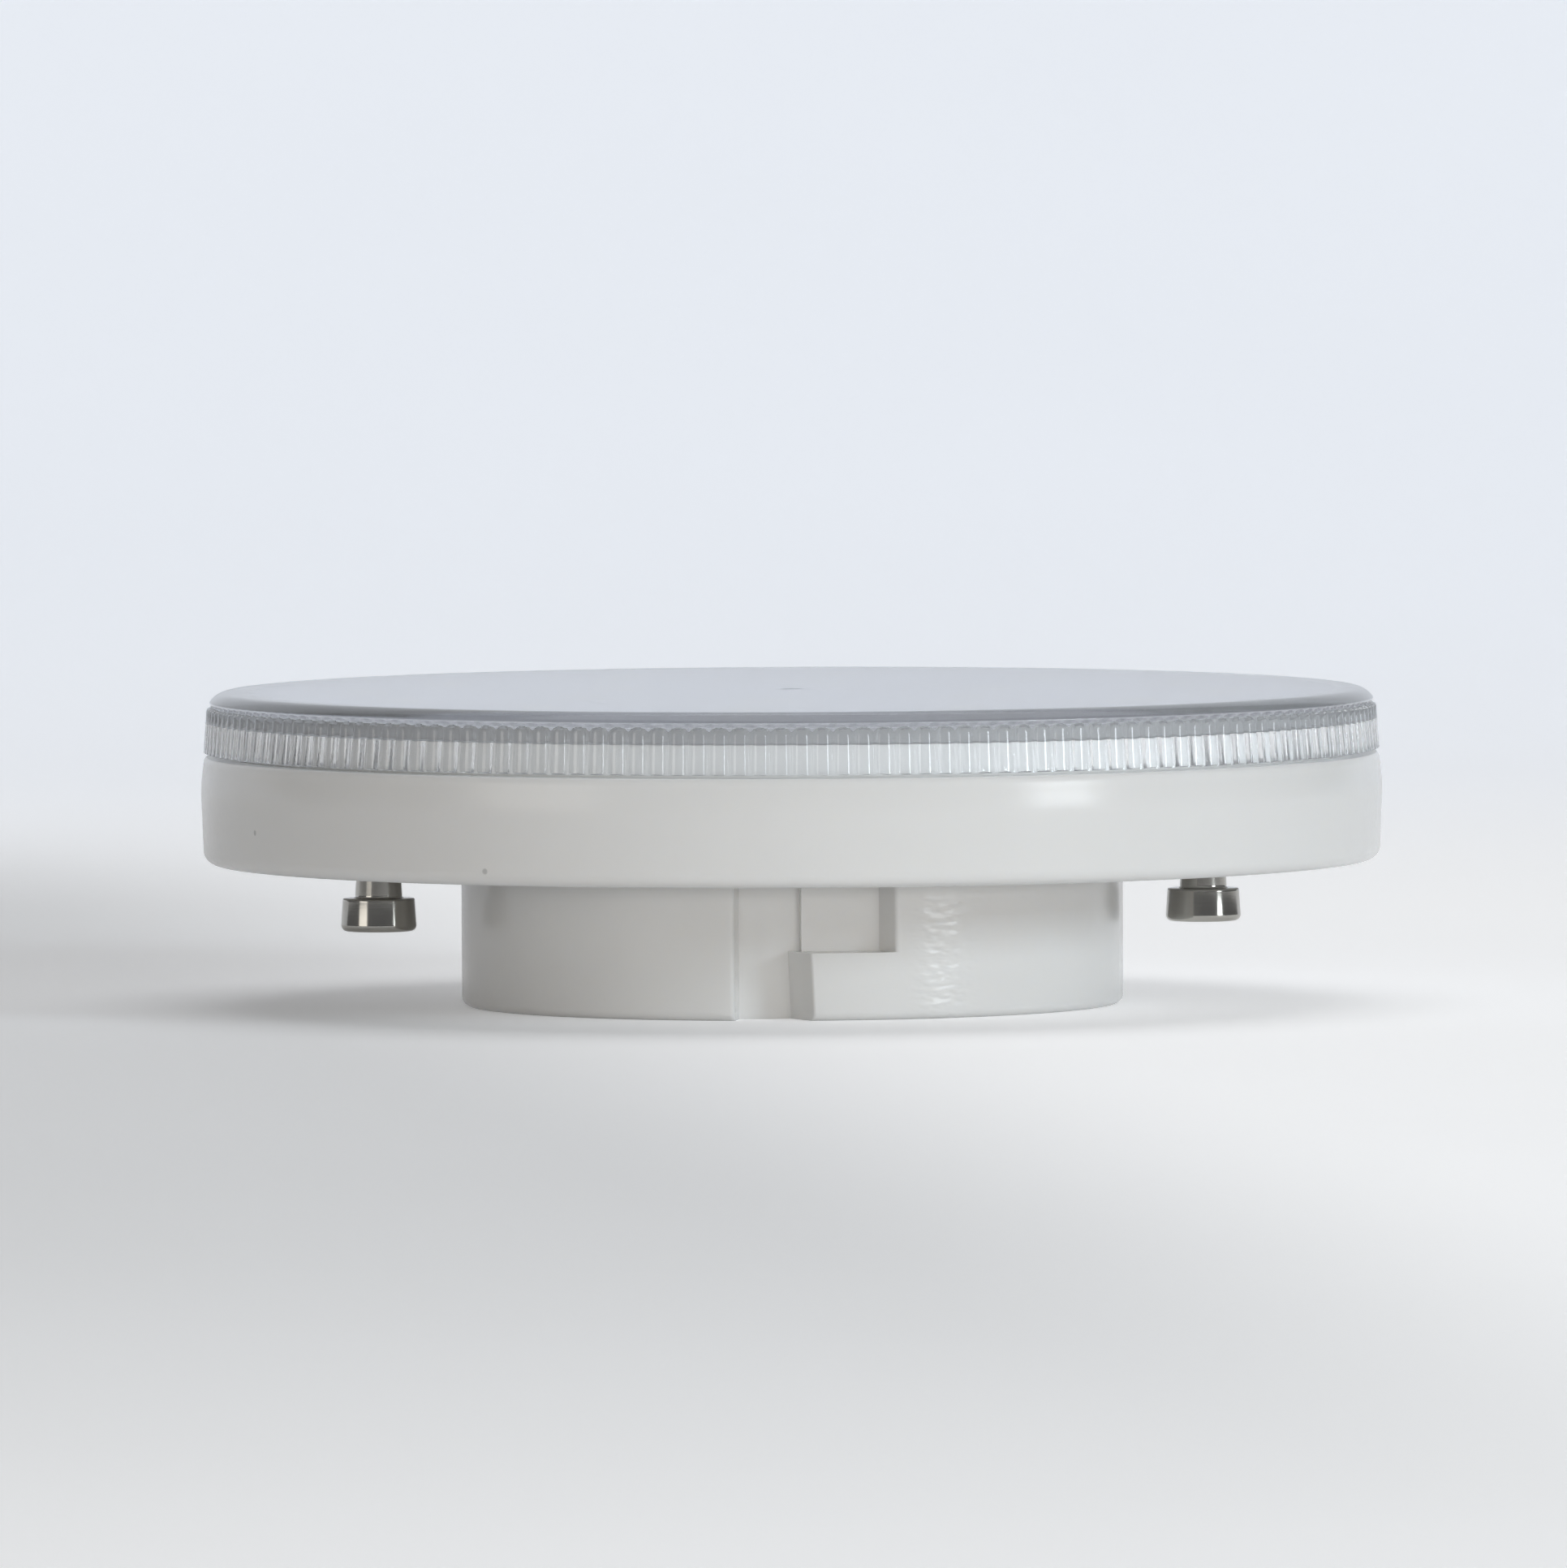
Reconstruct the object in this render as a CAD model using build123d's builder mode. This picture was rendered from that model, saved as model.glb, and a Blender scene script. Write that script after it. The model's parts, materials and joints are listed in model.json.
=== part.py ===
from build123d import *

import os
from math import copysign, cos, degrees, radians, sin, tan

# LED disc lamp with a two-pin twist-lock cap: millimetres, +Z up, standing on the end face of its boss.
# The two contact pins lie on the X axis and the two keyways of the boss face -Y and +Y.

# Boss that plugs into the lamp holder
boss_diameter = 42.0
boss_height = 9.1
boss_wall = 1.6
boss_floor = 1.6
boss_edge_radius = 0.6

# L-shaped keyway, sizes taken on its floor, seen from outside with the entry leg on the left
key_left_offset = 6.2
key_entry_width = 3.1
key_entry_depth = 3.3
key_lead_in = 0.2
key_ledge_height = 4.25
key_shelf_width = 0.75
key_turn_width = 4.95
key_turn_depth = 2.55
key_flank_angle = 17.0
key_overcut = 0.4
key_count = 2

# Body of the housing
body_diameter = 75.0
body_height = 6.8
body_wall = 1.6
body_floor = 1.6
body_draft_angle = 1.6
body_edge_radius = 0.9
rim_chamfer_height = 0.45
rim_chamfer_width = 0.25

# Clear cover
seam_gap = 0.2
cover_height = 3.9
cover_plate = 1.4
cover_inset = 0.17
cover_draft_angle = 4.3
cover_shoulder_radius = 1.2
cover_fit_clearance = 0.15
cover_seat_overlap = 0.2
gate_mark_diameter = 1.8
gate_mark_depth = 0.12

# Ribs round the skirt of the cover
rib_count = 180
rib_depth = 0.33
rib_height = 2.3
rib_foot_land = 0.25
rib_groove_share = 0.36
rib_inset = 0.05
rib_root_cover = 0.3

# Contact pins
pin_pitch = 53.0
pin_head_diameter = 4.8
pin_head_height = 2.1
pin_head_chamfer = 0.35
pin_head_top_chamfer = 0.15
pin_neck_diameter = 3.0
pin_neck_length = 2.05
pin_tail_length = 0.7

# Aluminium dish that carries the light board
dish_stand = 3.0
dish_clearance = 0.2
dish_sheet = 1.0
dish_corner_chamfer = 1.2
dish_collar_height = 2.0
gusset_count = 6
gusset_length = 5.0
gusset_width = 1.2

# Light board and its lights
led_board_clearance = 0.7
led_board_thickness = 1.0
led_length = 3.5
led_width = 2.8
led_height = 0.7
led_corner_cut = 0.6
led_outer_circle = 54.0
led_outer_count = 12
led_inner_circle = 28.0
led_inner_count = 6
led_start_angle = 15.0

# Insulating film and driver board
film_thickness = 0.3
film_length = 36.0
film_width = 30.0
driver_headroom = 0.6
driver_board_thickness = 1.2
driver_board_clearance = 0.4
driver_board_sides = 8
driver_rest_length = 3.0
driver_rest_width = 1.6

# Choke: a core of two E halves, lying flat, with its winding on the middle leg
choke_length = 8.3
choke_width = 8.0
choke_height = 6.6
choke_core_thickness = 3.6
choke_middle_leg = 2.0
choke_outer_leg = 1.35
choke_end_leg = 1.5
choke_winding_clearance = 0.3
choke_winding_chamfer = 0.7

# Capacitors
capacitor_diameter = 6.3
capacitor_length = 11.0
capacitor_end_chamfer = 0.4
capacitor_lead_pitch = 2.5
capacitor_lead_width = 0.5
capacitor_lead_reach = 1.2
film_capacitor_length = 7.2
film_capacitor_width = 4.0
film_capacitor_height = 6.0
film_capacitor_chamfer = 0.5

# Chip packages: length, width and height of the body, pitch and width of its leads, leads a side
component_lift = 0.1
bridge_body = (4.7, 3.9, 2.4)
bridge_lead = (2.5, 0.7)
bridge_lead_count = 2
chip_body = (4.9, 3.9, 1.4)
chip_lead = (1.27, 0.42)
chip_lead_count = 4
diode_body = (2.6, 4.0, 2.1)
diode_lead = (1.6, 1.4)
diode_lead_count = 1
chip_lead_thickness = 0.2
chip_lead_reach = 1.1
chip_edge_chamfer = 0.25

# End-capped parts: length, width and height, then the length of each cap
fuse_body = (6.1, 2.7, 2.7)
fuse_cap_length = 1.5
sense_resistor_body = (3.2, 1.6, 0.6)
sense_resistor_cap_length = 0.5
sense_resistor_pitch = 2.3
sense_resistor_count = 2
end_cap_proud = 0.05

# Places on the driver board, in shares of its radius
choke_place = (-0.30, 0.34)
capacitor_place = (-0.16, -0.47)
film_capacitor_place = (0.42, 0.10)
bridge_place = (-0.68, 0.22)
chip_place = (0.10, 0.62)
diode_place = (0.05, 0.10)
fuse_place = (-0.54, -0.36)
sense_resistor_place = (-0.14, -0.02)
mains_pad_share = 0.83
driver_rest_place = (0.70, 0.58)

# Header that joins the driver board to the light board
header_circle = 28.0
header_angle = 45.0
header_pin_width = 0.64
header_pin_pitch = 2.54
header_pin_proud = 1.0
header_block_length = 5.2
header_block_width = 2.5
header_block_height = 2.5
header_slot_margin = 0.9

# Insulated wires
wire_diameter = 1.1
wire_facets = 8
wire_bend_tight = 1.1
wire_bend = 3.0
wire_lift = 0.25

# Rounded edges of the turned forms are drawn as this many flat facets
edge_facets = 3

# Levels, worked out from the sizes above
body_top = boss_height + body_height
floor_top = boss_height + body_floor
skirt_bottom = body_top + seam_gap
cover_top = skirt_bottom + cover_height
dish_bottom = floor_top + dish_stand
dish_top = dish_bottom + dish_sheet
dish_rim = body_top + dish_collar_height
led_board_top = dish_top + led_board_thickness
pin_head_top = boss_height - pin_neck_length
pin_head_bottom = pin_head_top - pin_head_height
pin_top = floor_top + pin_tail_length
rib_bottom = skirt_bottom + rib_foot_land
rib_top = rib_bottom + rib_height
film_bottom = dish_bottom - film_thickness
tallest_component = max(choke_height, capacitor_diameter, film_capacitor_height)
driver_top = film_bottom - driver_headroom - tallest_component
driver_bottom = driver_top - driver_board_thickness
wire_run_level = pin_top + wire_lift + wire_bend_tight

# Radii, worked out from the sizes above
boss_radius = boss_diameter / 2
boss_bore_radius = boss_radius - boss_wall
body_radius = body_diameter / 2
body_foot_radius = body_radius - (body_height - rim_chamfer_height) * tan(radians(body_draft_angle))
cavity_radius = body_radius - body_wall
dish_radius = cavity_radius - dish_clearance
dish_bore_radius = dish_radius - dish_sheet
skirt_radius = body_radius - cover_inset
skirt_bore_radius = dish_radius + cover_fit_clearance
diffuser_radius = dish_bore_radius - cover_seat_overlap
led_board_radius = dish_bore_radius - led_board_clearance
driver_radius = boss_bore_radius - driver_board_clearance
pin_neck_radius = pin_neck_diameter / 2
wire_radius = wire_diameter / 2

# Keyway floors and the flat sides that they leave on the bore of the boss
key_entry_floor = boss_radius - key_entry_depth
key_turn_floor = boss_radius - key_turn_depth
key_backing = key_entry_floor - boss_wall
key_mouth = boss_radius + key_overcut
key_slope = tan(radians(key_flank_angle))
key_entry_right = key_entry_width - key_left_offset
key_shelf_right = key_entry_right + key_shelf_width
key_turn_right = key_shelf_right + key_turn_width
driver_flat = key_backing - driver_board_clearance


def polar(radius, angle):
    """Point at a radius and an angle in degrees from +X."""
    return radius * cos(radians(angle)), radius * sin(radians(angle))


def skirt_radius_at(level):
    """Outer radius of the drafted skirt at a height."""
    return skirt_radius - (level - skirt_bottom) * tan(radians(cover_draft_angle))


def upright_plane(x, y, level=0.0):
    """Plane through a point whose own X runs along +X and whose own Y runs up."""
    return Plane((x, y, level), x_dir=(1, 0, 0), z_dir=(0, -1, 0))


def driver_place(shares):
    """Place on the driver board, from shares of its radius."""
    return shares[0] * driver_radius, shares[1] * driver_radius


def rounded_corner(before, corner, after, radius):
    """Corner of an outline, rounded off in flat facets."""
    corner_point = Vector(*corner)
    to_before = (Vector(*before) - corner_point).normalized()
    to_after = (Vector(*after) - corner_point).normalized()
    half_angle = radians(to_before.get_angle(to_after)) / 2
    centre = corner_point + (to_before + to_after).normalized() * (radius / sin(half_angle))
    spoke = corner_point + to_before * (radius / tan(half_angle)) - centre
    turn = copysign(180 - 2 * degrees(half_angle), to_after.cross(to_before).Z)
    points = []
    for step in range(edge_facets + 1):
        point = centre + spoke.rotate(Axis.Z, turn * step / edge_facets)
        points.append((point.X, point.Y))
    return points


def header_plane(level):
    """Plane at a height, centred on the header, whose own X points away from the axis."""
    header_x, header_y = polar(header_circle / 2, header_angle)
    return Plane((header_x, header_y, level), x_dir=(header_x, header_y, 0), z_dir=(0, 0, 1))


def key_outline(left, right, floor):
    """Section of a keyway leg on the -Y side, wider at its mouth than on its floor."""
    spread = (key_mouth - floor) * key_slope
    return [(left, -floor), (left - spread, -key_mouth), (right + spread, -key_mouth), (right, -floor)]


# Clear cover: flat plate, rounded shoulder and drafted skirt, with a mark where the plastic was fed in
rib_valley_radius = skirt_radius_at(rib_top) - rib_inset - rib_depth
rib_root_radius = rib_valley_radius - rib_root_cover
with BuildPart() as diffuser_cover:
    with BuildSketch(Plane.XZ):
        with BuildLine():
            Polyline(
                (0, skirt_bottom),
                (skirt_radius, skirt_bottom),
                (skirt_radius_at(rib_bottom), rib_bottom),
                (rib_root_radius, rib_bottom),
                (rib_root_radius, rib_top),
                (skirt_radius_at(rib_top), rib_top),
                *rounded_corner(
                    (skirt_radius_at(rib_top), rib_top),
                    (skirt_radius_at(cover_top), cover_top),
                    (0, cover_top),
                    cover_shoulder_radius,
                ),
                (gate_mark_diameter / 2, cover_top),
                (0, cover_top - gate_mark_depth),
                close=True,
            )
        make_face()
    revolve(axis=Axis.Z)
    # Ribs that follow the draft, a flat crest between two V grooves each
    rib_pitch = 360 / rib_count
    groove_half = rib_pitch * rib_groove_share / 2
    for level in (rib_bottom, rib_top):
        crest_radius = skirt_radius_at(level) - rib_inset
        rib_outline = []
        for index in range(rib_count):
            groove_angle = index * rib_pitch
            rib_outline.append(polar(crest_radius - rib_depth, groove_angle))
            rib_outline.append(polar(crest_radius, groove_angle + groove_half))
            rib_outline.append(polar(crest_radius, groove_angle + rib_pitch - groove_half))
        with BuildSketch(Plane.XY.offset(level)):
            with BuildLine():
                Polyline(*rib_outline, close=True)
            make_face()
    loft(ruled=True)
    # Hollow: the frosted face inside, and the step that seats on the rim of the dish
    with BuildSketch(Plane.XZ):
        with BuildLine():
            Polyline(
                (0, skirt_bottom),
                (skirt_bore_radius, skirt_bottom),
                (skirt_bore_radius, dish_rim),
                (diffuser_radius, dish_rim),
                (diffuser_radius, cover_top - cover_plate),
                (0, cover_top - cover_plate),
                close=True,
            )
        make_face()
    revolve(axis=Axis.Z, mode=Mode.SUBTRACT)
diffuser_cover.part.label = "diffuser_cover"

# Housing: boss and body moulded as one cup
rest_x, rest_y = driver_place(driver_rest_place)
with BuildPart() as housing:
    with BuildSketch(Plane.XZ):
        with BuildLine():
            Polyline(
                (0, 0),
                *rounded_corner((0, 0), (boss_radius, 0), (boss_radius, boss_height), boss_edge_radius),
                (boss_radius, boss_height),
                *rounded_corner(
                    (boss_radius, boss_height),
                    (body_foot_radius, boss_height),
                    (body_radius, body_top - rim_chamfer_height),
                    body_edge_radius,
                ),
                (body_radius, body_top - rim_chamfer_height),
                (body_radius - rim_chamfer_width, body_top),
                (0, body_top),
                close=True,
            )
        make_face()
    revolve(axis=Axis.Z)
    with BuildSketch(Plane.XY.offset(floor_top)):
        Circle(cavity_radius)
    extrude(amount=body_height - body_floor, mode=Mode.SUBTRACT)
    # Bore of the boss, left thicker behind the keyways
    with BuildSketch(Plane.XY.offset(boss_floor)):
        Circle(boss_bore_radius)
        with PolarLocations(0, key_count):
            with Locations(((key_turn_right - key_left_offset) / 2, -key_backing - boss_radius / 2)):
                Rectangle(
                    key_turn_right + key_left_offset + 2 * boss_wall,
                    boss_radius,
                    mode=Mode.SUBTRACT,
                )
    extrude(amount=floor_top - boss_floor, mode=Mode.SUBTRACT)
    # Keyways: an entry leg that opens downwards, then a leg above the ledge for the turn
    for index in range(key_count):
        key_turn = (0, 0, index * 360 / key_count)
        for level, lead_in in ((0, key_lead_in), (key_ledge_height, 0)):
            with BuildSketch(Plane.XY.offset(level).rotated(key_turn)):
                Polygon(
                    *key_outline(-key_left_offset, key_entry_right + lead_in, key_entry_floor),
                    align=None,
                )
        loft(mode=Mode.SUBTRACT)
    with BuildSketch(Plane.XY.offset(key_ledge_height)):
        with PolarLocations(0, key_count):
            Polygon(*key_outline(-key_left_offset, key_shelf_right, key_entry_floor), align=None)
            Polygon(*key_outline(-key_left_offset, key_turn_right, key_turn_floor), align=None)
    extrude(amount=boss_height - key_ledge_height, mode=Mode.SUBTRACT)
    # Gussets under the dish, rests under the driver board, and holes for the pins
    with BuildSketch(Plane.XY.offset(floor_top)):
        with PolarLocations(cavity_radius - gusset_length / 2, gusset_count, start_angle=led_start_angle):
            Rectangle(gusset_length + body_wall, gusset_width)
    extrude(amount=dish_stand)
    with BuildSketch(Plane.XY.offset(boss_floor)):
        with GridLocations(2 * rest_x, 2 * rest_y, 2, 2):
            Rectangle(driver_rest_length, driver_rest_width)
    extrude(amount=driver_bottom - boss_floor)
    with BuildSketch(Plane.XY.offset(boss_height)):
        with PolarLocations(pin_pitch / 2, 2):
            Circle(pin_neck_radius)
    extrude(amount=body_floor, mode=Mode.SUBTRACT)
housing.part.label = "housing"


def contact_pin(side, label):
    """Turned pin: thick head, then a shank through the floor with its tail inside."""
    pin_x = side * pin_pitch / 2
    head_radius = pin_head_diameter / 2
    with BuildPart() as pin:
        with BuildSketch(upright_plane(pin_x, 0)):
            with BuildLine():
                Polyline(
                    (0, pin_head_bottom),
                    (head_radius - pin_head_chamfer, pin_head_bottom),
                    (head_radius, pin_head_bottom + pin_head_chamfer),
                    (head_radius, pin_head_top - pin_head_top_chamfer),
                    (head_radius - pin_head_top_chamfer, pin_head_top),
                    (pin_neck_radius, pin_head_top),
                    (pin_neck_radius, pin_top),
                    (0, pin_top),
                    close=True,
                )
            make_face()
        revolve(axis=Axis((pin_x, 0, 0), (0, 0, 1)))
    pin.part.label = label
    return pin.part


# Drawn aluminium dish: its wall stands up inside the clear skirt
header_slot_length = header_pin_pitch + header_pin_width + 2 * header_slot_margin
header_slot_width = header_pin_width + 2 * header_slot_margin
with BuildPart() as heat_dish:
    with BuildSketch(Plane.XZ):
        with BuildLine():
            Polyline(
                (0, dish_bottom),
                (dish_radius - dish_corner_chamfer, dish_bottom),
                (dish_radius, dish_bottom + dish_corner_chamfer),
                (dish_radius, dish_rim),
                (dish_bore_radius, dish_rim),
                (dish_bore_radius, dish_top),
                (0, dish_top),
                close=True,
            )
        make_face()
    revolve(axis=Axis.Z)
    with BuildSketch(header_plane(dish_bottom)):
        Rectangle(header_slot_width, header_slot_length)
    extrude(amount=dish_sheet, mode=Mode.SUBTRACT)
heat_dish.part.label = "heat_dish"

# Light board
with BuildPart() as led_board:
    with BuildSketch(Plane.XY.offset(dish_top)):
        Circle(led_board_radius)
    extrude(amount=led_board_thickness)
    with BuildSketch(header_plane(dish_top)):
        Rectangle(header_slot_width, header_slot_length)
    extrude(amount=led_board_thickness, mode=Mode.SUBTRACT)
led_board.part.label = "led_board"


def led_package(circle, angle, label):
    """One light: a low package with a cut corner, its long side across the radius."""
    led_x, led_y = polar(circle / 2, angle)
    half_width = led_width / 2
    half_length = led_length / 2
    with BuildPart() as led:
        with BuildSketch(Plane((led_x, led_y, led_board_top), x_dir=(led_x, led_y, 0), z_dir=(0, 0, 1))):
            Polygon(
                (-half_width, -half_length),
                (half_width - led_corner_cut, -half_length),
                (half_width, led_corner_cut - half_length),
                (half_width, half_length),
                (-half_width, half_length),
                align=None,
            )
        extrude(amount=led_height)
    led.part.label = label
    return led.part


# Insulating film under the dish, over the driver
with BuildPart() as insulation_film:
    with BuildSketch(Plane.XY.offset(film_bottom)):
        Rectangle(film_length, film_width)
    extrude(amount=film_thickness)
    with BuildSketch(header_plane(film_bottom)):
        Rectangle(header_slot_width, header_slot_length)
    extrude(amount=film_thickness, mode=Mode.SUBTRACT)
insulation_film.part.label = "insulation_film"

# Driver board: eight-sided to clear the bore, its long sides cut back past the keyways
with BuildPart() as driver_board:
    with BuildSketch(Plane.XY.offset(driver_bottom)):
        RegularPolygon(driver_radius, driver_board_sides, rotation=180 / driver_board_sides)
        Rectangle(2 * driver_radius, 2 * driver_flat, mode=Mode.INTERSECT)
    extrude(amount=driver_board_thickness)
driver_board.part.label = "driver_board"

# Choke: the winding stands on the board and carries the core on its middle leg
choke_x, choke_y = driver_place(choke_place)
choke_window_width = (choke_length - choke_middle_leg) / 2 - choke_outer_leg
choke_window_length = choke_width - 2 * choke_end_leg
choke_centre_level = driver_top + choke_height / 2
with BuildPart() as choke_core:
    with BuildSketch(Plane((choke_x, choke_y, choke_centre_level))):
        Rectangle(choke_length, choke_width)
        with GridLocations(choke_middle_leg + choke_window_width, 0, 2, 1):
            Rectangle(choke_window_width, choke_window_length, mode=Mode.SUBTRACT)
    extrude(amount=choke_core_thickness / 2, both=True)
choke_core.part.label = "choke_core"
with BuildPart() as choke_winding:
    winding_width = choke_middle_leg + 2 * (choke_window_width - choke_winding_clearance)
    with BuildSketch(upright_plane(choke_x, choke_y, choke_centre_level)) as winding_section:
        Rectangle(winding_width, choke_height)
        chamfer(winding_section.vertices(), choke_winding_chamfer)
        Rectangle(choke_middle_leg, choke_core_thickness, mode=Mode.SUBTRACT)
    extrude(amount=choke_window_length / 2, both=True)
choke_winding.part.label = "choke_winding"

# Smoothing capacitor, lying on the board with its leads bent down
capacitor_x, capacitor_y = driver_place(capacitor_place)
capacitor_radius = capacitor_diameter / 2
capacitor_level = driver_top + capacitor_radius
with BuildPart() as smoothing_capacitor:
    with BuildSketch(upright_plane(capacitor_x, capacitor_y, capacitor_level)):
        with BuildLine():
            Polyline(
                (0, 0),
                (0, capacitor_radius - capacitor_end_chamfer),
                (capacitor_end_chamfer, capacitor_radius),
                (capacitor_length - capacitor_end_chamfer, capacitor_radius),
                (capacitor_length, capacitor_radius - capacitor_end_chamfer),
                (capacitor_length, 0),
                close=True,
            )
        make_face()
    revolve(axis=Axis((capacitor_x, capacitor_y, capacitor_level), (1, 0, 0)))
    lead_half = capacitor_lead_width / 2
    for lead_side in (-1, 1):
        lead_y = capacitor_y + lead_side * capacitor_lead_pitch / 2
        with BuildSketch(upright_plane(capacitor_x, lead_y, capacitor_level)):
            Polygon(
                (capacitor_end_chamfer, lead_half),
                (-capacitor_lead_reach, lead_half),
                (-capacitor_lead_reach, -capacitor_radius),
                (capacitor_lead_width - capacitor_lead_reach, -capacitor_radius),
                (capacitor_lead_width - capacitor_lead_reach, -lead_half),
                (capacitor_end_chamfer, -lead_half),
                align=None,
            )
        extrude(amount=lead_half, both=True)
smoothing_capacitor.part.label = "smoothing_capacitor"

# Film capacitor: a moulded block standing on the board
with BuildPart() as film_capacitor:
    with BuildSketch(Plane((*driver_place(film_capacitor_place), driver_top))):
        Rectangle(film_capacitor_length, film_capacitor_width)
    extrude(amount=film_capacitor_height)
    chamfer(film_capacitor.faces().sort_by(Axis.Z)[-1].edges(), film_capacitor_chamfer)
film_capacitor.part.label = "film_capacitor"

# Header: a block on the driver board, and two square pins up through the light board
header_pin_height = led_board_top + header_pin_proud - driver_top
with BuildPart() as header_block:
    with BuildSketch(header_plane(driver_top)):
        Rectangle(header_block_width, header_block_length)
        with GridLocations(0, header_pin_pitch, 1, 2):
            Rectangle(header_pin_width, header_pin_width, mode=Mode.SUBTRACT)
    extrude(amount=header_block_height)
header_block.part.label = "header_block"


def header_pin(side, label):
    """Square pin from the driver board to the light board."""
    with BuildPart() as pin:
        with BuildSketch(header_plane(driver_top)):
            with Locations((0, side * header_pin_pitch / 2)):
                Rectangle(header_pin_width, header_pin_width)
        extrude(amount=header_pin_height)
    pin.part.label = label
    return pin.part


def chip_package(place, body, lead, lead_count, label):
    """Surface package: a body on bent leads along two sides, the feet flat on the board."""
    chip_x, chip_y = driver_place(place)
    length, width, height = body
    lead_pitch, lead_width = lead
    half_width = width / 2
    knee = half_width + chip_lead_reach / 2
    toe = half_width + chip_lead_reach
    lead_level = component_lift + height / 2
    lead_profile = [
        (half_width - chip_lead_thickness, lead_level + chip_lead_thickness),
        (knee, lead_level + chip_lead_thickness),
        (knee, chip_lead_thickness),
        (toe, chip_lead_thickness),
        (toe, 0),
        (knee - chip_lead_thickness, 0),
        (knee - chip_lead_thickness, lead_level),
        (half_width - chip_lead_thickness, lead_level),
    ]
    with BuildPart() as chip:
        with BuildSketch(Plane((chip_x, chip_y, driver_top + component_lift))):
            Rectangle(length, width)
        extrude(amount=height)
        chamfer(chip.faces().sort_by(Axis.Z)[-1].edges(), chip_edge_chamfer)
        for index in range(lead_count):
            lead_x = chip_x + (index - (lead_count - 1) / 2) * lead_pitch
            lead_plane = Plane((lead_x, chip_y, driver_top), x_dir=(0, 1, 0), z_dir=(1, 0, 0))
            with BuildSketch(lead_plane):
                Polygon(*lead_profile, align=None)
                mirror(about=Plane.YZ)
            extrude(amount=lead_width / 2, both=True)
    chip.part.label = label
    return chip.part


def end_capped_block(place, body, cap_length, label):
    """Block between two wrapped end caps."""
    length, width, height = body
    with BuildPart() as block:
        with BuildSketch(Plane((*place, driver_top + end_cap_proud))):
            Rectangle(length, width)
        extrude(amount=height - 2 * end_cap_proud)
        with BuildSketch(Plane((*place, driver_top))):
            with GridLocations(length - cap_length, 0, 2, 1):
                Rectangle(cap_length, width + 2 * end_cap_proud)
        extrude(amount=height)
    block.part.label = label
    return block.part


def mains_wire(side, label):
    """Wire from the tail of a pin, over the edge of the boss and down to the driver board."""
    pin_x = side * pin_pitch / 2
    pad_x = side * mains_pad_share * driver_radius
    pin_end = (pin_x, pin_top)
    over_pin = (pin_x, wire_run_level)
    over_pad = (pad_x, wire_run_level)
    pad_end = (pad_x, driver_top)
    with BuildPart() as wire:
        with BuildLine(Plane.XZ) as route:
            Polyline(
                pin_end,
                *rounded_corner(pin_end, over_pin, over_pad, wire_bend_tight),
                *rounded_corner(over_pin, over_pad, pad_end, wire_bend),
                pad_end,
            )
        with BuildSketch(Plane(route.line @ 0, z_dir=route.line % 0)):
            RegularPolygon(wire_radius, wire_facets)
        sweep(path=route.line, transition=Transition.RIGHT)
    wire.part.label = label
    return wire.part


pieces = [
    diffuser_cover.part,
    housing.part,
    contact_pin(-1, "contact_pin_left"),
    contact_pin(1, "contact_pin_right"),
    heat_dish.part,
    led_board.part,
    insulation_film.part,
    driver_board.part,
    choke_core.part,
    choke_winding.part,
    smoothing_capacitor.part,
    film_capacitor.part,
    header_block.part,
    header_pin(-1, "header_pin_plus"),
    header_pin(1, "header_pin_minus"),
    chip_package(bridge_place, bridge_body, bridge_lead, bridge_lead_count, "bridge_rectifier"),
    chip_package(chip_place, chip_body, chip_lead, chip_lead_count, "driver_chip"),
    chip_package(diode_place, diode_body, diode_lead, diode_lead_count, "flyback_diode"),
    end_capped_block(driver_place(fuse_place), fuse_body, fuse_cap_length, "fuse"),
    mains_wire(-1, "mains_wire_left"),
    mains_wire(1, "mains_wire_right"),
]
sense_x, sense_y = driver_place(sense_resistor_place)
for index in range(sense_resistor_count):
    sense_place = (sense_x, sense_y - index * sense_resistor_pitch)
    label = f"sense_resistor_{index + 1}"
    pieces.append(end_capped_block(sense_place, sense_resistor_body, sense_resistor_cap_length, label))
led_rings = ((led_outer_circle, led_outer_count), (led_inner_circle, led_inner_count))
led_number = 0
for ring_circle, ring_count in led_rings:
    for index in range(ring_count):
        led_number += 1
        led_angle = led_start_angle + index * 360 / ring_count
        pieces.append(led_package(ring_circle, led_angle, f"led_{led_number:02d}"))

os.makedirs("parts", exist_ok=True)
for piece in pieces:
    export_step(piece, f"parts/{piece.label}.step")
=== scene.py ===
import json
from math import asin, atan2, cos, hypot, pi, radians, sin, sqrt, tan

import bmesh
import bpy
from bpy.props import FloatProperty, FloatVectorProperty, IntProperty, PointerProperty
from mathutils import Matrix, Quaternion, Vector

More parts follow.
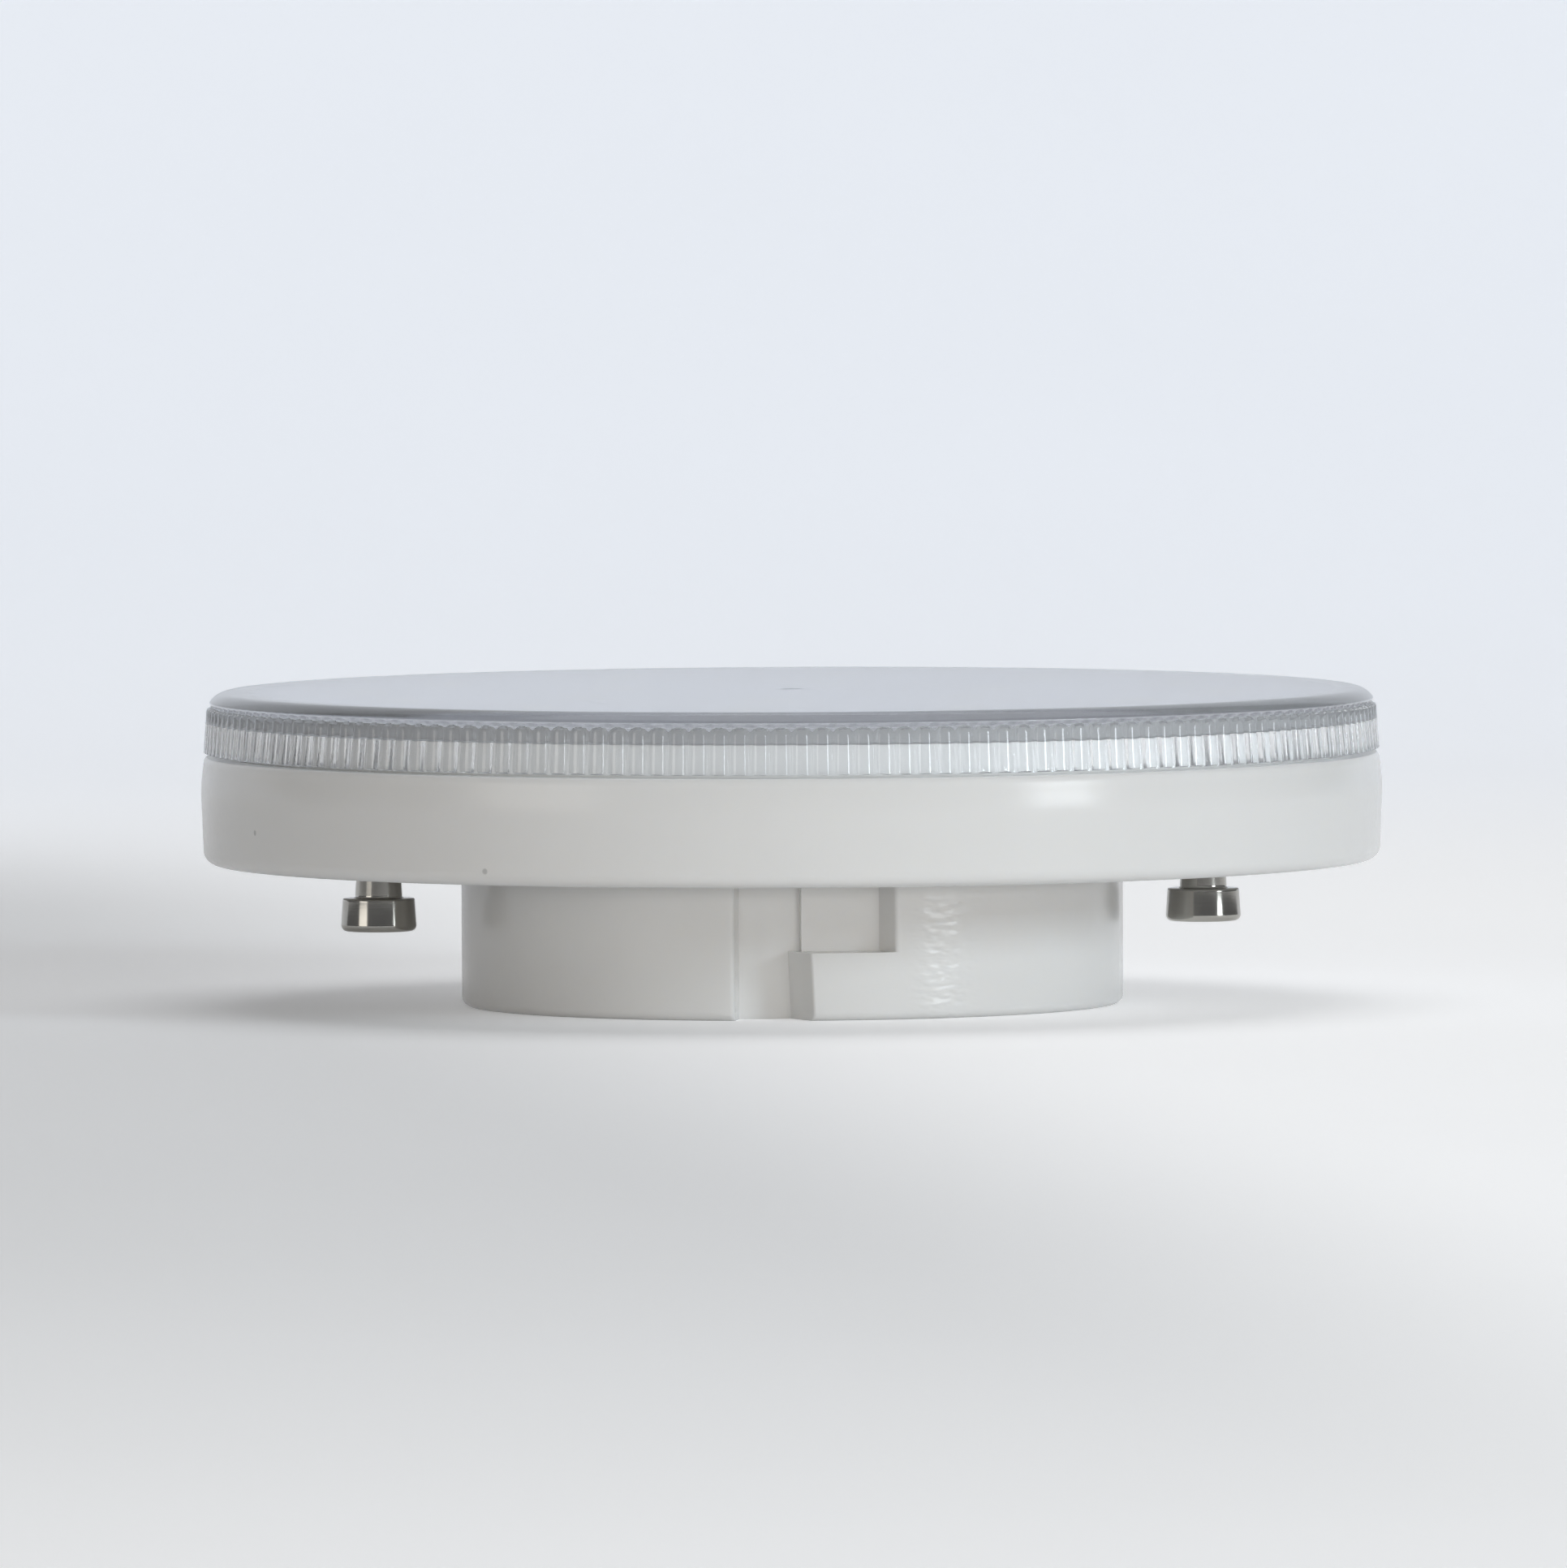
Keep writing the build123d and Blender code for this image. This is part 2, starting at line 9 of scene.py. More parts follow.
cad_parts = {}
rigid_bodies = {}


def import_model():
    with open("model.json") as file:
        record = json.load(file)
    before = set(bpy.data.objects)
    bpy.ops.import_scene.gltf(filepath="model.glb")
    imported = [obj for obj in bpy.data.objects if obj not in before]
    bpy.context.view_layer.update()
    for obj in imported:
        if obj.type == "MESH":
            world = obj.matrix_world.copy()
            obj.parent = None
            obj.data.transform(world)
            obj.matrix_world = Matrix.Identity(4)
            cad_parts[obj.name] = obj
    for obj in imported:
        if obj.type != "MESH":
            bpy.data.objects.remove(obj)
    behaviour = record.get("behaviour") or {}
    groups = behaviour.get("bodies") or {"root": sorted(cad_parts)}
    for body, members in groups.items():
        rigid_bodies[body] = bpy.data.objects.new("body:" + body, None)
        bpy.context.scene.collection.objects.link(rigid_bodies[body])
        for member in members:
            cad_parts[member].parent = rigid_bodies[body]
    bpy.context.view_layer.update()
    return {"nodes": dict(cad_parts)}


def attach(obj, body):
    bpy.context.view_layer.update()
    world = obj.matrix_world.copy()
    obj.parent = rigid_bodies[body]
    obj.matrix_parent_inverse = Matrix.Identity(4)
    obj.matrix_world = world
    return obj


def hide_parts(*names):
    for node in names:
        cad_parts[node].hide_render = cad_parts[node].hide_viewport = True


bl_info = {
    "name": "LED disc lamp",
    "version": (1, 0, 0),
    "blender": (4, 5, 0),
    "location": "View3D > Sidebar > Disc lamp",
    "description": "Finishes an LED disc lamp with a ribbed clear cover on its fixed frame",
    "category": "Add Mesh",
}

for leftover in list(bpy.data.objects):
    bpy.data.objects.remove(leftover)
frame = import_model()
MM = 0.001
PICTURE_WIDTH = 1931
CLEAR_INDEX = 1.57
WHITE_INDEX = 1.44
SHARP = 28.0
BLACK = (0.0, 0.0, 0.0, 1.0)
CORNERS = ((-1, -1), (1, -1), (1, 1), (-1, 1))


# Sizes and colours

def length(name, description, millimetres):
    """A size that the user may change, shown in scene units."""
    return FloatProperty(
        name=name, description=description, default=millimetres * MM, min=0.0, precision=5, unit="LENGTH"
    )


def turn(name, description, degrees):
    """An angle that the user may change."""
    return FloatProperty(name=name, description=description, default=radians(degrees), subtype="ANGLE")


def share(name, description, value):
    """A share between none and all."""
    return FloatProperty(
        name=name, description=description, default=value, min=0.0, max=1.0, subtype="FACTOR"
    )


def power(name, description, watts):
    """The power of a lamp."""
    return FloatProperty(name=name, description=description, default=watts, min=0.0, unit="POWER")


def colour(name, description, red, green, blue):
    """A colour that the user may change."""
    return FloatVectorProperty(
        name=name,
        description=description,
        size=4,
        min=0.0,
        max=1.0,
        default=(red, green, blue, 1.0),
        subtype="COLOR",
    )


class CoverSettings(bpy.types.PropertyGroup):
    """Sizes and colours of the clear cover"""

    skirt_radius: length("Skirt radius", "Outer radius at the bottom edge of the skirt", 37.33)
    skirt_bottom: length("Skirt bottom", "Height of the bottom edge of the skirt", 16.1)
    top: length("Top", "Height of the flat top", 20.0)
    draft: turn("Draft", "How far the skirt leans in", 4.3)
    shoulder: length("Shoulder radius", "Rounding between the skirt and the top", 1.25)
    plate: length("Plate", "Thickness of the flat plate", 1.4)
    bore: length("Bore", "Inner radius of the skirt", 35.85)
    seat: length("Seat", "Height of the step just above the rim of the dish", 17.94)
    frosted_radius: length("Frosted radius", "Radius of the frosted underside of the face", 34.5)
    rib_count: IntProperty(name="Ribs", description="Number of ribs round the skirt", default=180, min=24)
    rib_bottom: length("Rib bottom", "Height where the ribs start", 16.2)
    rib_top: length("Rib top", "Height where the ribs end", 19.0)
    rib_depth: length("Rib depth", "Depth of the grooves between the ribs at their top", 0.3)
    rib_crown: length("Rib crown", "How far the face of a rib bulges", 0.13)
    rib_share: share("Rib share", "Share of the pitch that a rib takes", 0.76)
    rib_edge: length("Rib edge", "Half width of the soft edge of a rib", 0.12)
    gate_radius: length("Feed mark radius", "Radius of the mark where the plastic was fed in", 0.9)
    gate_depth: length("Feed mark depth", "Depth of the mark where the plastic was fed in", 0.16)
    clear: colour("Clear plastic", "Tint of the clear plastic", 0.965, 0.972, 0.98)
    satin: colour("Satin plastic", "Tint of the satin top", 0.895, 0.92, 0.985)
    # Painted shade: a dark tint on the same clear plastic as the ribs, so that the shoulder looks as dark as
    # the shade behind it; it also dims the lamps' light that passes it.
    shoulder_painted_shade: colour("Shoulder tint", "Tint of the thick shoulder", 0.42, 0.426, 0.436)
    frosted: colour("Frosted face", "Tint of the frosted underside of the face", 0.84, 0.87, 0.97)
    milky: colour("Milky wall", "Tint of the milky wall and seat behind the ribs", 0.42, 0.422, 0.425)
    passed: colour("Passed light", "Share of the lamps' light that passes the frosted face", 0.34, 0.345, 0.36)


class HousingSettings(bpy.types.PropertyGroup):
    """Sizes and colours of the white housing"""

    boss_radius: length("Boss radius", "Radius of the boss that plugs into the holder", 21.0)
    boss_height: length("Boss height", "Height of the boss under the body", 9.1)
    boss_edge: length("Boss edge", "Rounding of the bottom edge of the boss", 0.6)
    boss_wall: length("Boss wall", "Thickness of the wall and floor of the boss", 1.6)
    body_radius: length("Body radius", "Radius of the body under its rim", 37.5)
    body_top: length("Body top", "Height of the rim of the body", 15.9)
    body_draft: turn("Body draft", "How far the wall of the body leans out", 1.6)
    body_edge: length("Body edge", "Rounding of the bottom edge of the body", 0.9)
    body_wall: length("Body wall", "Thickness of the wall and floor of the body", 1.6)
    rim_height: length("Rim height", "Height of the rounded rim", 0.55)
    rim_width: length("Rim width", "How far the rounded rim leans in", 0.25)
    bow_height: length("Bow height", "Height of the gently bowed wall under the rim", 1.8)
    bow_width: length("Bow width", "How far the bowed wall leans in", 0.14)
    key_left: length("Keyway left", "Distance of the left wall of the keyway from its middle", 6.2)
    key_entry_right: length("Entry right", "Distance of the right wall of the entry leg", 3.1)
    key_lead: length("Lead-in", "How much wider the entry leg is at its mouth", 0.2)
    key_shelf_right: length("Shelf right", "Distance of the right end of the deep shelf", 2.35)
    key_turn_right: length("Turn right", "Distance of the right wall of the turn leg", 2.6)
    key_ledge: length("Ledge height", "Height of the ledge under the turn leg", 4.25)
    key_entry_floor: length("Entry floor", "Distance of the floor of the entry leg from the axis", 17.7)
    key_turn_floor: length("Turn floor", "Distance of the floor of the turn leg from the axis", 18.45)
    key_flank: turn("Flank angle", "How far the walls of the keyway open outwards", 17.0)
    key_round: length("Keyway edges", "Rounding of the outer edges of the keyway", 0.3)
    pin_pitch: length("Pin pitch", "Distance between the two contact pins", 53.0)
    pin_hole: length("Pin hole", "Radius of the holes for the pins", 1.5)
    gusset_height: length("Gusset height", "Height of the gussets under the dish", 3.0)
    rest_x: length("Rest across", "Distance of the rests of the driver board across the lamp", 13.3)
    rest_y: length("Rest along", "Distance of the rests of the driver board from front to back", 11.02)
    rest_top: length("Rest top", "Height of the rests of the driver board", 5.0)
    white: colour("White", "Colour of the moulded housing", 0.82, 0.812, 0.795)


class PinSettings(bpy.types.PropertyGroup):
    """Sizes and colour of the contact pins"""

    pitch: length("Pitch", "Distance between the two pins", 53.0)
    head_radius: length("Head radius", "Radius of the head", 2.4)
    head_bottom: length("Head bottom", "Height of the free end of the head", 4.95)
    head_top: length("Head top", "Height of the step behind the head", 7.05)
    end_round: length("End rounding", "Rounding of the free end of the head", 0.38)
    step_round: length("Step rounding", "Rounding of the edge behind the head", 0.14)
    taper: turn("Taper", "How far the turned sides lean in towards the housing", 3.4)
    neck_radius: length("Neck radius", "Radius of the neck", 1.5)
    tail_top: length("Tail top", "Height of the tail inside the housing", 11.4)
    nickel: colour("Nickel", "Colour of the plated pins", 0.46, 0.445, 0.41)


class InnerSettings(bpy.types.PropertyGroup):
    """Colours of the pieces inside"""

    aluminium: colour("Aluminium", "Colour of the drawn dish", 0.86, 0.865, 0.875)
    coat: colour("Coat", "Colour of the white coat on the wall of the dish", 0.62, 0.617, 0.605)
    coat_radius: length("Coat radius", "Distance from the axis past which the dish is coated white", 35.0)
    board_white: colour("Light board", "Colour of the coated light board", 0.80, 0.80, 0.78)
    phosphor: colour("Phosphor", "Colour of the middle of a light", 0.85, 0.62, 0.10)
    board_green: colour("Driver board", "Colour of the driver board", 0.02, 0.16, 0.06)
    copper: colour("Copper", "Colour of the enamelled winding", 0.62, 0.24, 0.09)
    amber: colour("Film", "Colour of the insulating film", 0.62, 0.27, 0.03)
    led_outer_circle: length("Outer circle", "Radius of the outer circle of lights", 27.0)
    led_inner_circle: length("Inner circle", "Radius of the inner circle of lights", 14.0)


class StageSettings(bpy.types.PropertyGroup):
    """Camera, lamps and floor"""

    distance: length("Distance", "Distance of the camera from the axis", 1500.0)
    height: length("Height", "Height of the camera above the floor", 80.0)
    around: turn("Around", "Angle of the camera round the lamp", -9.0)
    pitch: turn("Pitch", "How far the camera looks down", 2.521)
    roll: turn("Roll", "How far the camera is rolled", -0.28)
    pan: turn("Pan", "How far the camera looks to the left", 0.0197)
    scale: FloatProperty(
        name="Scale", description="Picture pixels to a millimetre at the axis", default=19.43, min=0.1
    )
    key_power: power("Key lamp", "Power of the lamp at the right, which doesn't show in gloss", 2.5)
    glint_power: power("Glint lamp", "Power of the low lamp at the right, which shows in gloss", 0.75)
    left_power: power("Left lamp", "Power of the lamp at the left", 0.5)
    top_power: power("Top lamp", "Power of the lamp above", 3.2)
    front_power: power("Front lamp", "Power of the broad lamp by the camera", 3.65)
    fill: share("Fill", "Strength of the even light from all round", 0.14)
    room: share("Room", "How bright the room by the camera looks in gloss", 0.17)
    floor: colour("Floor", "Colour of the floor", 0.88, 0.882, 0.89)
    backdrop: colour("Backdrop", "Colour of the backdrop", 0.84, 0.87, 0.925)
    floor_glow: share("Floor glow", "How much of its white the floor keeps in shadow", 0.44)


# Shader nodes

def feed(tree, socket, value):
    """Links a socket to another, or sets its value."""
    if isinstance(value, bpy.types.NodeSocket):
        tree.links.new(value, socket)
    else:
        socket.default_value = value


def add(tree, kind, **inputs):
    """Adds a node and feeds its inputs by name; an underscore stands for a space."""
    node = tree.nodes.new(kind)
    for name, value in inputs.items():
        feed(tree, node.inputs[name.replace("_", " ")], value)
    return node


def maths(tree, operation, first, second=0.0):
    """Works out one value from two."""
    node = tree.nodes.new("ShaderNodeMath")
    node.operation = operation
    feed(tree, node.inputs[0], first)
    feed(tree, node.inputs[1], second)
    return node.outputs[0]


def blend(tree, factor, first, second, way="MIX"):
    """Mixes two colours."""
    node = tree.nodes.new("ShaderNodeMix")
    node.data_type = "RGBA"
    node.blend_type = way
    feed(tree, node.inputs[0], factor)
    feed(tree, node.inputs[6], first)
    feed(tree, node.inputs[7], second)
    return node.outputs[2]


def darken(tree, tint, tone):
    """Multiplies a colour by a tone."""
    grey = add(tree, "ShaderNodeCombineColor", Red=tone, Green=tone, Blue=tone).outputs[0]
    return blend(tree, 1.0, tint, grey, "MULTIPLY")


def ease(tree, value, low, high, start=0.0, end=1.0):
    """Carries a value smoothly from one range to another."""
    node = tree.nodes.new("ShaderNodeMapRange")
    node.interpolation_type = "SMOOTHSTEP"
    for socket, given in zip(node.inputs, (value, low, high, start, end)):
        feed(tree, socket, given)
    return node.outputs[0]


def noise(tree, place, scale, detail=3.0, roughness=0.55):
    """Noise value at a place."""
    node = add(tree, "ShaderNodeTexNoise", Vector=place, Scale=scale, Detail=detail, Roughness=roughness)
    return node.outputs[0]


def stretched(tree, place, scale):
    """Place with its three directions scaled."""
    return add(tree, "ShaderNodeMapping", Vector=place, Scale=scale).outputs[0]


def object_place(tree):
    """Place on the object, in metres."""
    return tree.nodes.new("ShaderNodeTexCoord").outputs["Object"]


def box_place(tree):
    """Place in the box of the object, from 0 to 1."""
    return tree.nodes.new("ShaderNodeTexCoord").outputs["Generated"]


def split(tree, place):
    """The three directions of a place."""
    return add(tree, "ShaderNodeSeparateXYZ", Vector=place).outputs


def seen_rays(tree):
    """Outputs of the light path, and whether a ray is seen: by the camera, in gloss or through glass."""
    paths = tree.nodes.new("ShaderNodeLightPath").outputs
    seen = maths(tree, "MAXIMUM", paths["Is Camera Ray"], paths["Is Glossy Ray"])
    return paths, maths(tree, "MAXIMUM", seen, paths["Is Transmission Ray"])


def new_group(name, inputs, outputs):
    """Empty node group with named sockets."""
    tree = bpy.data.node_groups.new(name, "ShaderNodeTree")
    for kind, names in (("INPUT", inputs), ("OUTPUT", outputs)):
        for socket_name, socket_type in names.items():
            tree.interface.new_socket(name=socket_name, in_out=kind, socket_type="NodeSocket" + socket_type)
    return tree, tree.nodes.new("NodeGroupInput").outputs, tree.nodes.new("NodeGroupOutput").inputs


def moulded_surface():
    """Moulded plastic: faint clouds in its colour, dust specks and a fine grain."""
    name = "Moulded surface"
    if name in bpy.data.node_groups:
        return bpy.data.node_groups[name]
    tree, given, out = new_group(
        name,
        {
            "Color": "Color",
            "Clouds": "Float",
            "Cloud Scale": "Float",
            "Specks": "Float",
            "Roughness": "Float",
            "Spread": "Float",
            "Grain Scale": "Float",
        },
        {"Color": "Color", "Roughness": "Float", "Height": "Float"},
    )
    place = object_place(tree)
    clouds = noise(tree, place, given["Cloud Scale"])
    clouds = maths(tree, "MULTIPLY", maths(tree, "SUBTRACT", clouds, 0.5), given["Clouds"])
    tone = maths(tree, "ADD", clouds, 1.0)
    cells, outer, inner, empty_share, rise = 420.0, 0.10, 0.05, 0.965, 0.6
    speck = add(tree, "ShaderNodeTexVoronoi", Vector=place, Scale=cells)
    chance = add(tree, "ShaderNodeSeparateColor", Color=speck.outputs["Color"]).outputs[0]
    dot = ease(tree, speck.outputs["Distance"], outer, inner)
    dot = maths(tree, "MULTIPLY", dot, maths(tree, "GREATER_THAN", chance, empty_share))
    tone = maths(tree, "SUBTRACT", tone, maths(tree, "MULTIPLY", dot, given["Specks"]))
    feed(tree, out["Color"], darken(tree, given["Color"], tone))
    grain = noise(tree, place, given["Grain Scale"], detail=4.0)
    spread = maths(tree, "MULTIPLY", maths(tree, "SUBTRACT", grain, 0.5), given["Spread"])
    feed(tree, out["Roughness"], maths(tree, "ADD", given["Roughness"], spread))
    feed(tree, out["Height"], maths(tree, "ADD", grain, maths(tree, "MULTIPLY", dot, rise)))
    return tree


def turned_metal():
    """Turned or drawn metal: fine rings round the axis, and stains."""
    name = "Turned metal"
    if name in bpy.data.node_groups:
        return bpy.data.node_groups[name]
    tree, given, out = new_group(
        name,
        {
            "Color": "Color",
            "Stains": "Float",
            "Ring Scale": "Float",
            "Rings": "Float",
            "Roughness": "Float",
        },
        {"Color": "Color", "Roughness": "Float", "Height": "Float"},
    )
    place = object_place(tree)
    along_rings, stain_scale = (0.02, 0.02, 1.0), 320.0
    rings = noise(tree, stretched(tree, place, along_rings), given["Ring Scale"], detail=5.0, roughness=0.7)
    stains = noise(tree, place, stain_scale, detail=4.0)
    stained = ease(tree, stains, low=0.35, high=0.7, start=1.0, end=0.0)
    tone = maths(tree, "SUBTRACT", 1.0, maths(tree, "MULTIPLY", stained, given["Stains"]))
    feed(tree, out["Color"], darken(tree, given["Color"], tone))
    rough = maths(tree, "MULTIPLY", maths(tree, "SUBTRACT", rings, 0.5), given["Rings"])
    feed(tree, out["Roughness"], maths(tree, "ADD", given["Roughness"], rough))
    feed(tree, out["Height"], rings)
    return tree


def handling_marks():
    """Hairline scratches in two directions, as a mask."""
    name = "Handling marks"
    if name in bpy.data.node_groups:
        return bpy.data.node_groups[name]
    tree, given, out = new_group(name, {"Scale": "Float", "Amount": "Float"}, {"Mask": "Float"})
    place = object_place(tree)
    masks = []
    lean, along_lines = 0.3, (1.0, 0.03, 0.06)
    for tilt in (0.4, 2.1):
        turned = add(tree, "ShaderNodeMapping", Vector=place, Rotation=(lean, tilt, tilt), Scale=along_lines)
        lines = noise(tree, turned.outputs[0], given["Scale"], detail=2.0)
        masks.append(ease(tree, lines, low=0.68, high=0.74))
    both = maths(tree, "MAXIMUM", *masks)
    feed(tree, out["Mask"], maths(tree, "MULTIPLY", both, given["Amount"]))
    return tree


def round_place():
    """Distance from the axis, and distance along the circle from the nearest of a number of places."""
    name = "Round place"
    if name in bpy.data.node_groups:
        return bpy.data.node_groups[name]
    tree, given, out = new_group(
        name,
        {"Circle": "Float", "Count": "Float", "Start": "Float"},
        {"Outwards": "Float", "Along": "Float", "Radius": "Float"},
    )
    axes = split(tree, object_place(tree))
    squares = [maths(tree, "MULTIPLY", axis, axis) for axis in axes[:2]]
    radius = maths(tree, "SQRT", maths(tree, "ADD", *squares))
    angle = maths(tree, "SUBTRACT", maths(tree, "ARCTAN2", axes[1], axes[0]), given["Start"])
    steps = maths(tree, "MULTIPLY", angle, maths(tree, "DIVIDE", given["Count"], 2 * pi))
    rest = maths(tree, "SUBTRACT", steps, maths(tree, "ROUND", steps))
    along = maths(tree, "MULTIPLY", rest, maths(tree, "DIVIDE", 2 * pi, given["Count"]))
    feed(tree, out["Outwards"], maths(tree, "SUBTRACT", radius, given["Circle"]))
    feed(tree, out["Along"], maths(tree, "MULTIPLY", along, given["Circle"]))
    feed(tree, out["Radius"], radius)
    return tree


def new_finish(name):
    """Material with its shader, ready for the nodes that feed it."""
    finish = bpy.data.materials.new(name + "_finish")
    finish.use_nodes = True
    return finish, finish.node_tree, finish.node_tree.nodes["Principled BSDF"]


def place_group(tree, group, **inputs):
    """Places a node group and feeds its inputs."""
    node = tree.nodes.new("ShaderNodeGroup")
    node.node_tree = group
    for name, value in inputs.items():
        feed(tree, node.inputs[name.replace("_", " ")], value)
    return node.outputs


def raise_bump(tree, shader, height, strength, depth):
    """Feeds the shader's normal from a height."""
    bump = add(tree, "ShaderNodeBump", Height=height, Strength=strength, Distance=depth)
    feed(tree, shader.inputs["Normal"], bump.outputs[0])


def dress(tree, shader, made, strength, depth):
    """Feeds the shader's colour, roughness and bump from a group's outputs."""
    feed(tree, shader.inputs["Base Color"], made["Color"])
    feed(tree, shader.inputs["Roughness"], made["Roughness"])
    raise_bump(tree, shader, made["Height"], strength, depth)


def add_marks(tree, shader, made, scale, amount):
    """Makes the shader a little rougher along hairline scratches."""
    marks = place_group(tree, handling_marks(), Scale=scale, Amount=amount)["Mask"]
    feed(tree, shader.inputs["Roughness"], maths(tree, "ADD", made["Roughness"], marks))


def plastic_finish(name, tint, roughness, clouds=0.06, specks=0.0, cloud_scale=160.0, grain_scale=2600.0):
    """Moulded plastic, board or ceramic of one colour."""
    finish, tree, shader = new_finish(name)
    made = place_group(
        tree,
        moulded_surface(),
        Color=tint,
        Clouds=clouds,
        Cloud_Scale=cloud_scale,
        Specks=specks,
        Roughness=roughness,
        Spread=0.12,
        Grain_Scale=grain_scale,
    )
    dress(tree, shader, made, strength=0.06, depth=0.01 * MM)
    return finish, tree, shader, made


def metal_finish(name, tint, roughness, rings=0.12, stains=0.08, ring_scale=9000.0):
    """Turned, drawn or plated metal."""
    finish, tree, shader = new_finish(name)
    shader.inputs["Metallic"].default_value = 1.0
    made = place_group(
        tree, turned_metal(), Color=tint, Stains=stains, Ring_Scale=ring_scale, Rings=rings, Roughness=roughness
    )
    dress(tree, shader, made, strength=0.03, depth=0.01 * MM)
    return finish, tree, shader, made


def housing_finish(settings):
    """Glossy white plastic: faint clouds, dust, hairlines, and flow ripples on the boss beside the keyways."""
    finish, tree, shader, made = plastic_finish(
        "white_housing", settings.white, 0.21, clouds=0.03, specks=0.3, cloud_scale=90.0
    )
    add_marks(tree, shader, made, scale=900.0, amount=0.008)
    place = object_place(tree)
    axes = split(tree, place)
    on_boss = ease(tree, axes[2], settings.boss_height, settings.boss_height - 1 * MM)
    across = maths(tree, "MULTIPLY", axes[0], maths(tree, "SIGN", axes[1]))
    near_end, near_full, far_full, far_end = (-3.6 * MM, -5.6 * MM, -7.0 * MM, -9.4 * MM)
    near_side = ease(tree, across, near_end, near_full)
    far_side = ease(tree, across, far_end, far_full)
    by_key = maths(tree, "MULTIPLY", near_side, far_side)
    ripple_stretch, ripple_scale, ripple_height = (0.6, 0.6, 1.3), 2000.0, 1.5
    ripples = noise(tree, stretched(tree, place, ripple_stretch), ripple_scale, detail=0.5)
    ripples = maths(tree, "MULTIPLY", ripples, maths(tree, "MULTIPLY", on_boss, by_key))
    ripples = maths(tree, "MULTIPLY", ripples, ripple_height)
    wave_scale, wave_height = 120.0, 0.6
    waves = noise(tree, place, wave_scale, detail=2.0)
    height = maths(tree, "ADD", ripples, maths(tree, "MULTIPLY", waves, wave_height))
    raise_bump(tree, shader, height, strength=1.0, depth=0.05 * MM)
    shader.inputs["IOR"].default_value = WHITE_INDEX
    shader.inputs["Subsurface Weight"].default_value = 0.2
    shader.inputs["Subsurface Radius"].default_value = (1.0, 0.92, 0.8)
    shader.inputs["Subsurface Scale"].default_value = 2.0 * MM
    return finish


def clear_finish(name, tint, roughness, marks, milk=0.0):
    """Clear plastic with some milk in it: polished ribs, satin shoulder and top, or a milky inner wall."""
    finish, tree, shader = new_finish(name)
    shader.inputs["Transmission Weight"].default_value = 1.0 - milk
    shader.inputs["IOR"].default_value = CLEAR_INDEX
    made = place_group(
        tree,
        moulded_surface(),
        Color=tint,
        Clouds=0.02,
        Cloud_Scale=120.0,
        Specks=0.1,
        Roughness=roughness,
        Spread=0.04,
        Grain_Scale=700.0,
    )
    dress(tree, shader, made, strength=0.03, depth=0.02 * MM)
    add_marks(tree, shader, made, scale=1100.0, amount=marks)
    return finish


def let_lamps_through(finish, tint):
    """Lets the light of the lamps pass, so that what stands behind the clear plastic is lit."""
    tree = finish.node_tree
    bare = add(tree, "ShaderNodeBsdfTransparent", Color=tint)
    mixed = tree.nodes.new("ShaderNodeMixShader")
    feed(tree, mixed.inputs[0], tree.nodes.new("ShaderNodeLightPath").outputs["Is Shadow Ray"])
    feed(tree, mixed.inputs[1], tree.nodes["Principled BSDF"].outputs[0])
    feed(tree, mixed.inputs[2], bare.outputs[0])
    feed(tree, tree.nodes["Material Output"].inputs["Surface"], mixed.outputs[0])
    return finish


def frosted_finish(settings):
    """Frosted underside of the flat face, which spreads the light."""
    finish, tree, shader = new_finish("frosted_cover")
    shader.inputs["Transmission Weight"].default_value = 1.0
    shader.inputs["IOR"].default_value = CLEAR_INDEX
    made = place_group(
        tree,
        moulded_surface(),
        Color=settings.frosted,
        Clouds=0.03,
        Cloud_Scale=70.0,
        Specks=0.12,
        Roughness=0.55,
        Spread=0.10,
        Grain_Scale=1800.0,
    )
    dress(tree, shader, made, strength=0.2, depth=0.02 * MM)
    return finish


def pin_finish(settings):
    """Nickel plating over turned brass."""
    finish, _, shader, _ = metal_finish("nickel_pin", settings.nickel, 0.12, rings=0.06, stains=0.15)
    shader.inputs["Anisotropic"].default_value = 0.5
    return finish


def dish_finish(settings):
    """Drawn aluminium dish whose outer wall and rim are coated white."""
    finish, tree, shader, made = metal_finish(
        "bare_aluminium", settings.aluminium, 0.42, rings=0.12, stains=0.05, ring_scale=5000.0
    )
    radius = place_group(tree, round_place(), Circle=0.0, Count=1.0, Start=0.0)["Radius"]
    coat = ease(tree, radius, settings.coat_radius - 0.1 * MM, settings.coat_radius)
    feed(tree, shader.inputs["Base Color"], blend(tree, coat, made["Color"], settings.coat))
    feed(tree, shader.inputs["Metallic"], maths(tree, "SUBTRACT", 1.0, coat))
    return finish


def track_finish(name, tint, roughness, scale):
    """Coated circuit board whose tracks show through the coat."""
    finish, tree, shader, made = plastic_finish(name, tint, roughness, clouds=0.08)
    place = object_place(tree)
    tracks = tree.nodes.new("ShaderNodeTexVoronoi")
    tracks.feature = "DISTANCE_TO_EDGE"
    feed(tree, tracks.inputs["Vector"], stretched(tree, place, (1.0, 1.0, 0.0)))
    feed(tree, tracks.inputs["Scale"], scale)
    track = ease(tree, tracks.outputs[0], low=0.03, high=0.07, start=0.78, end=1.0)
    feed(tree, shader.inputs["Base Color"], darken(tree, made["Color"], track))
    track_height = 4.0
    height = maths(tree, "ADD", maths(tree, "MULTIPLY", track, track_height), made["Height"])
    raise_bump(tree, shader, height, strength=0.3, depth=0.03 * MM)
    return finish


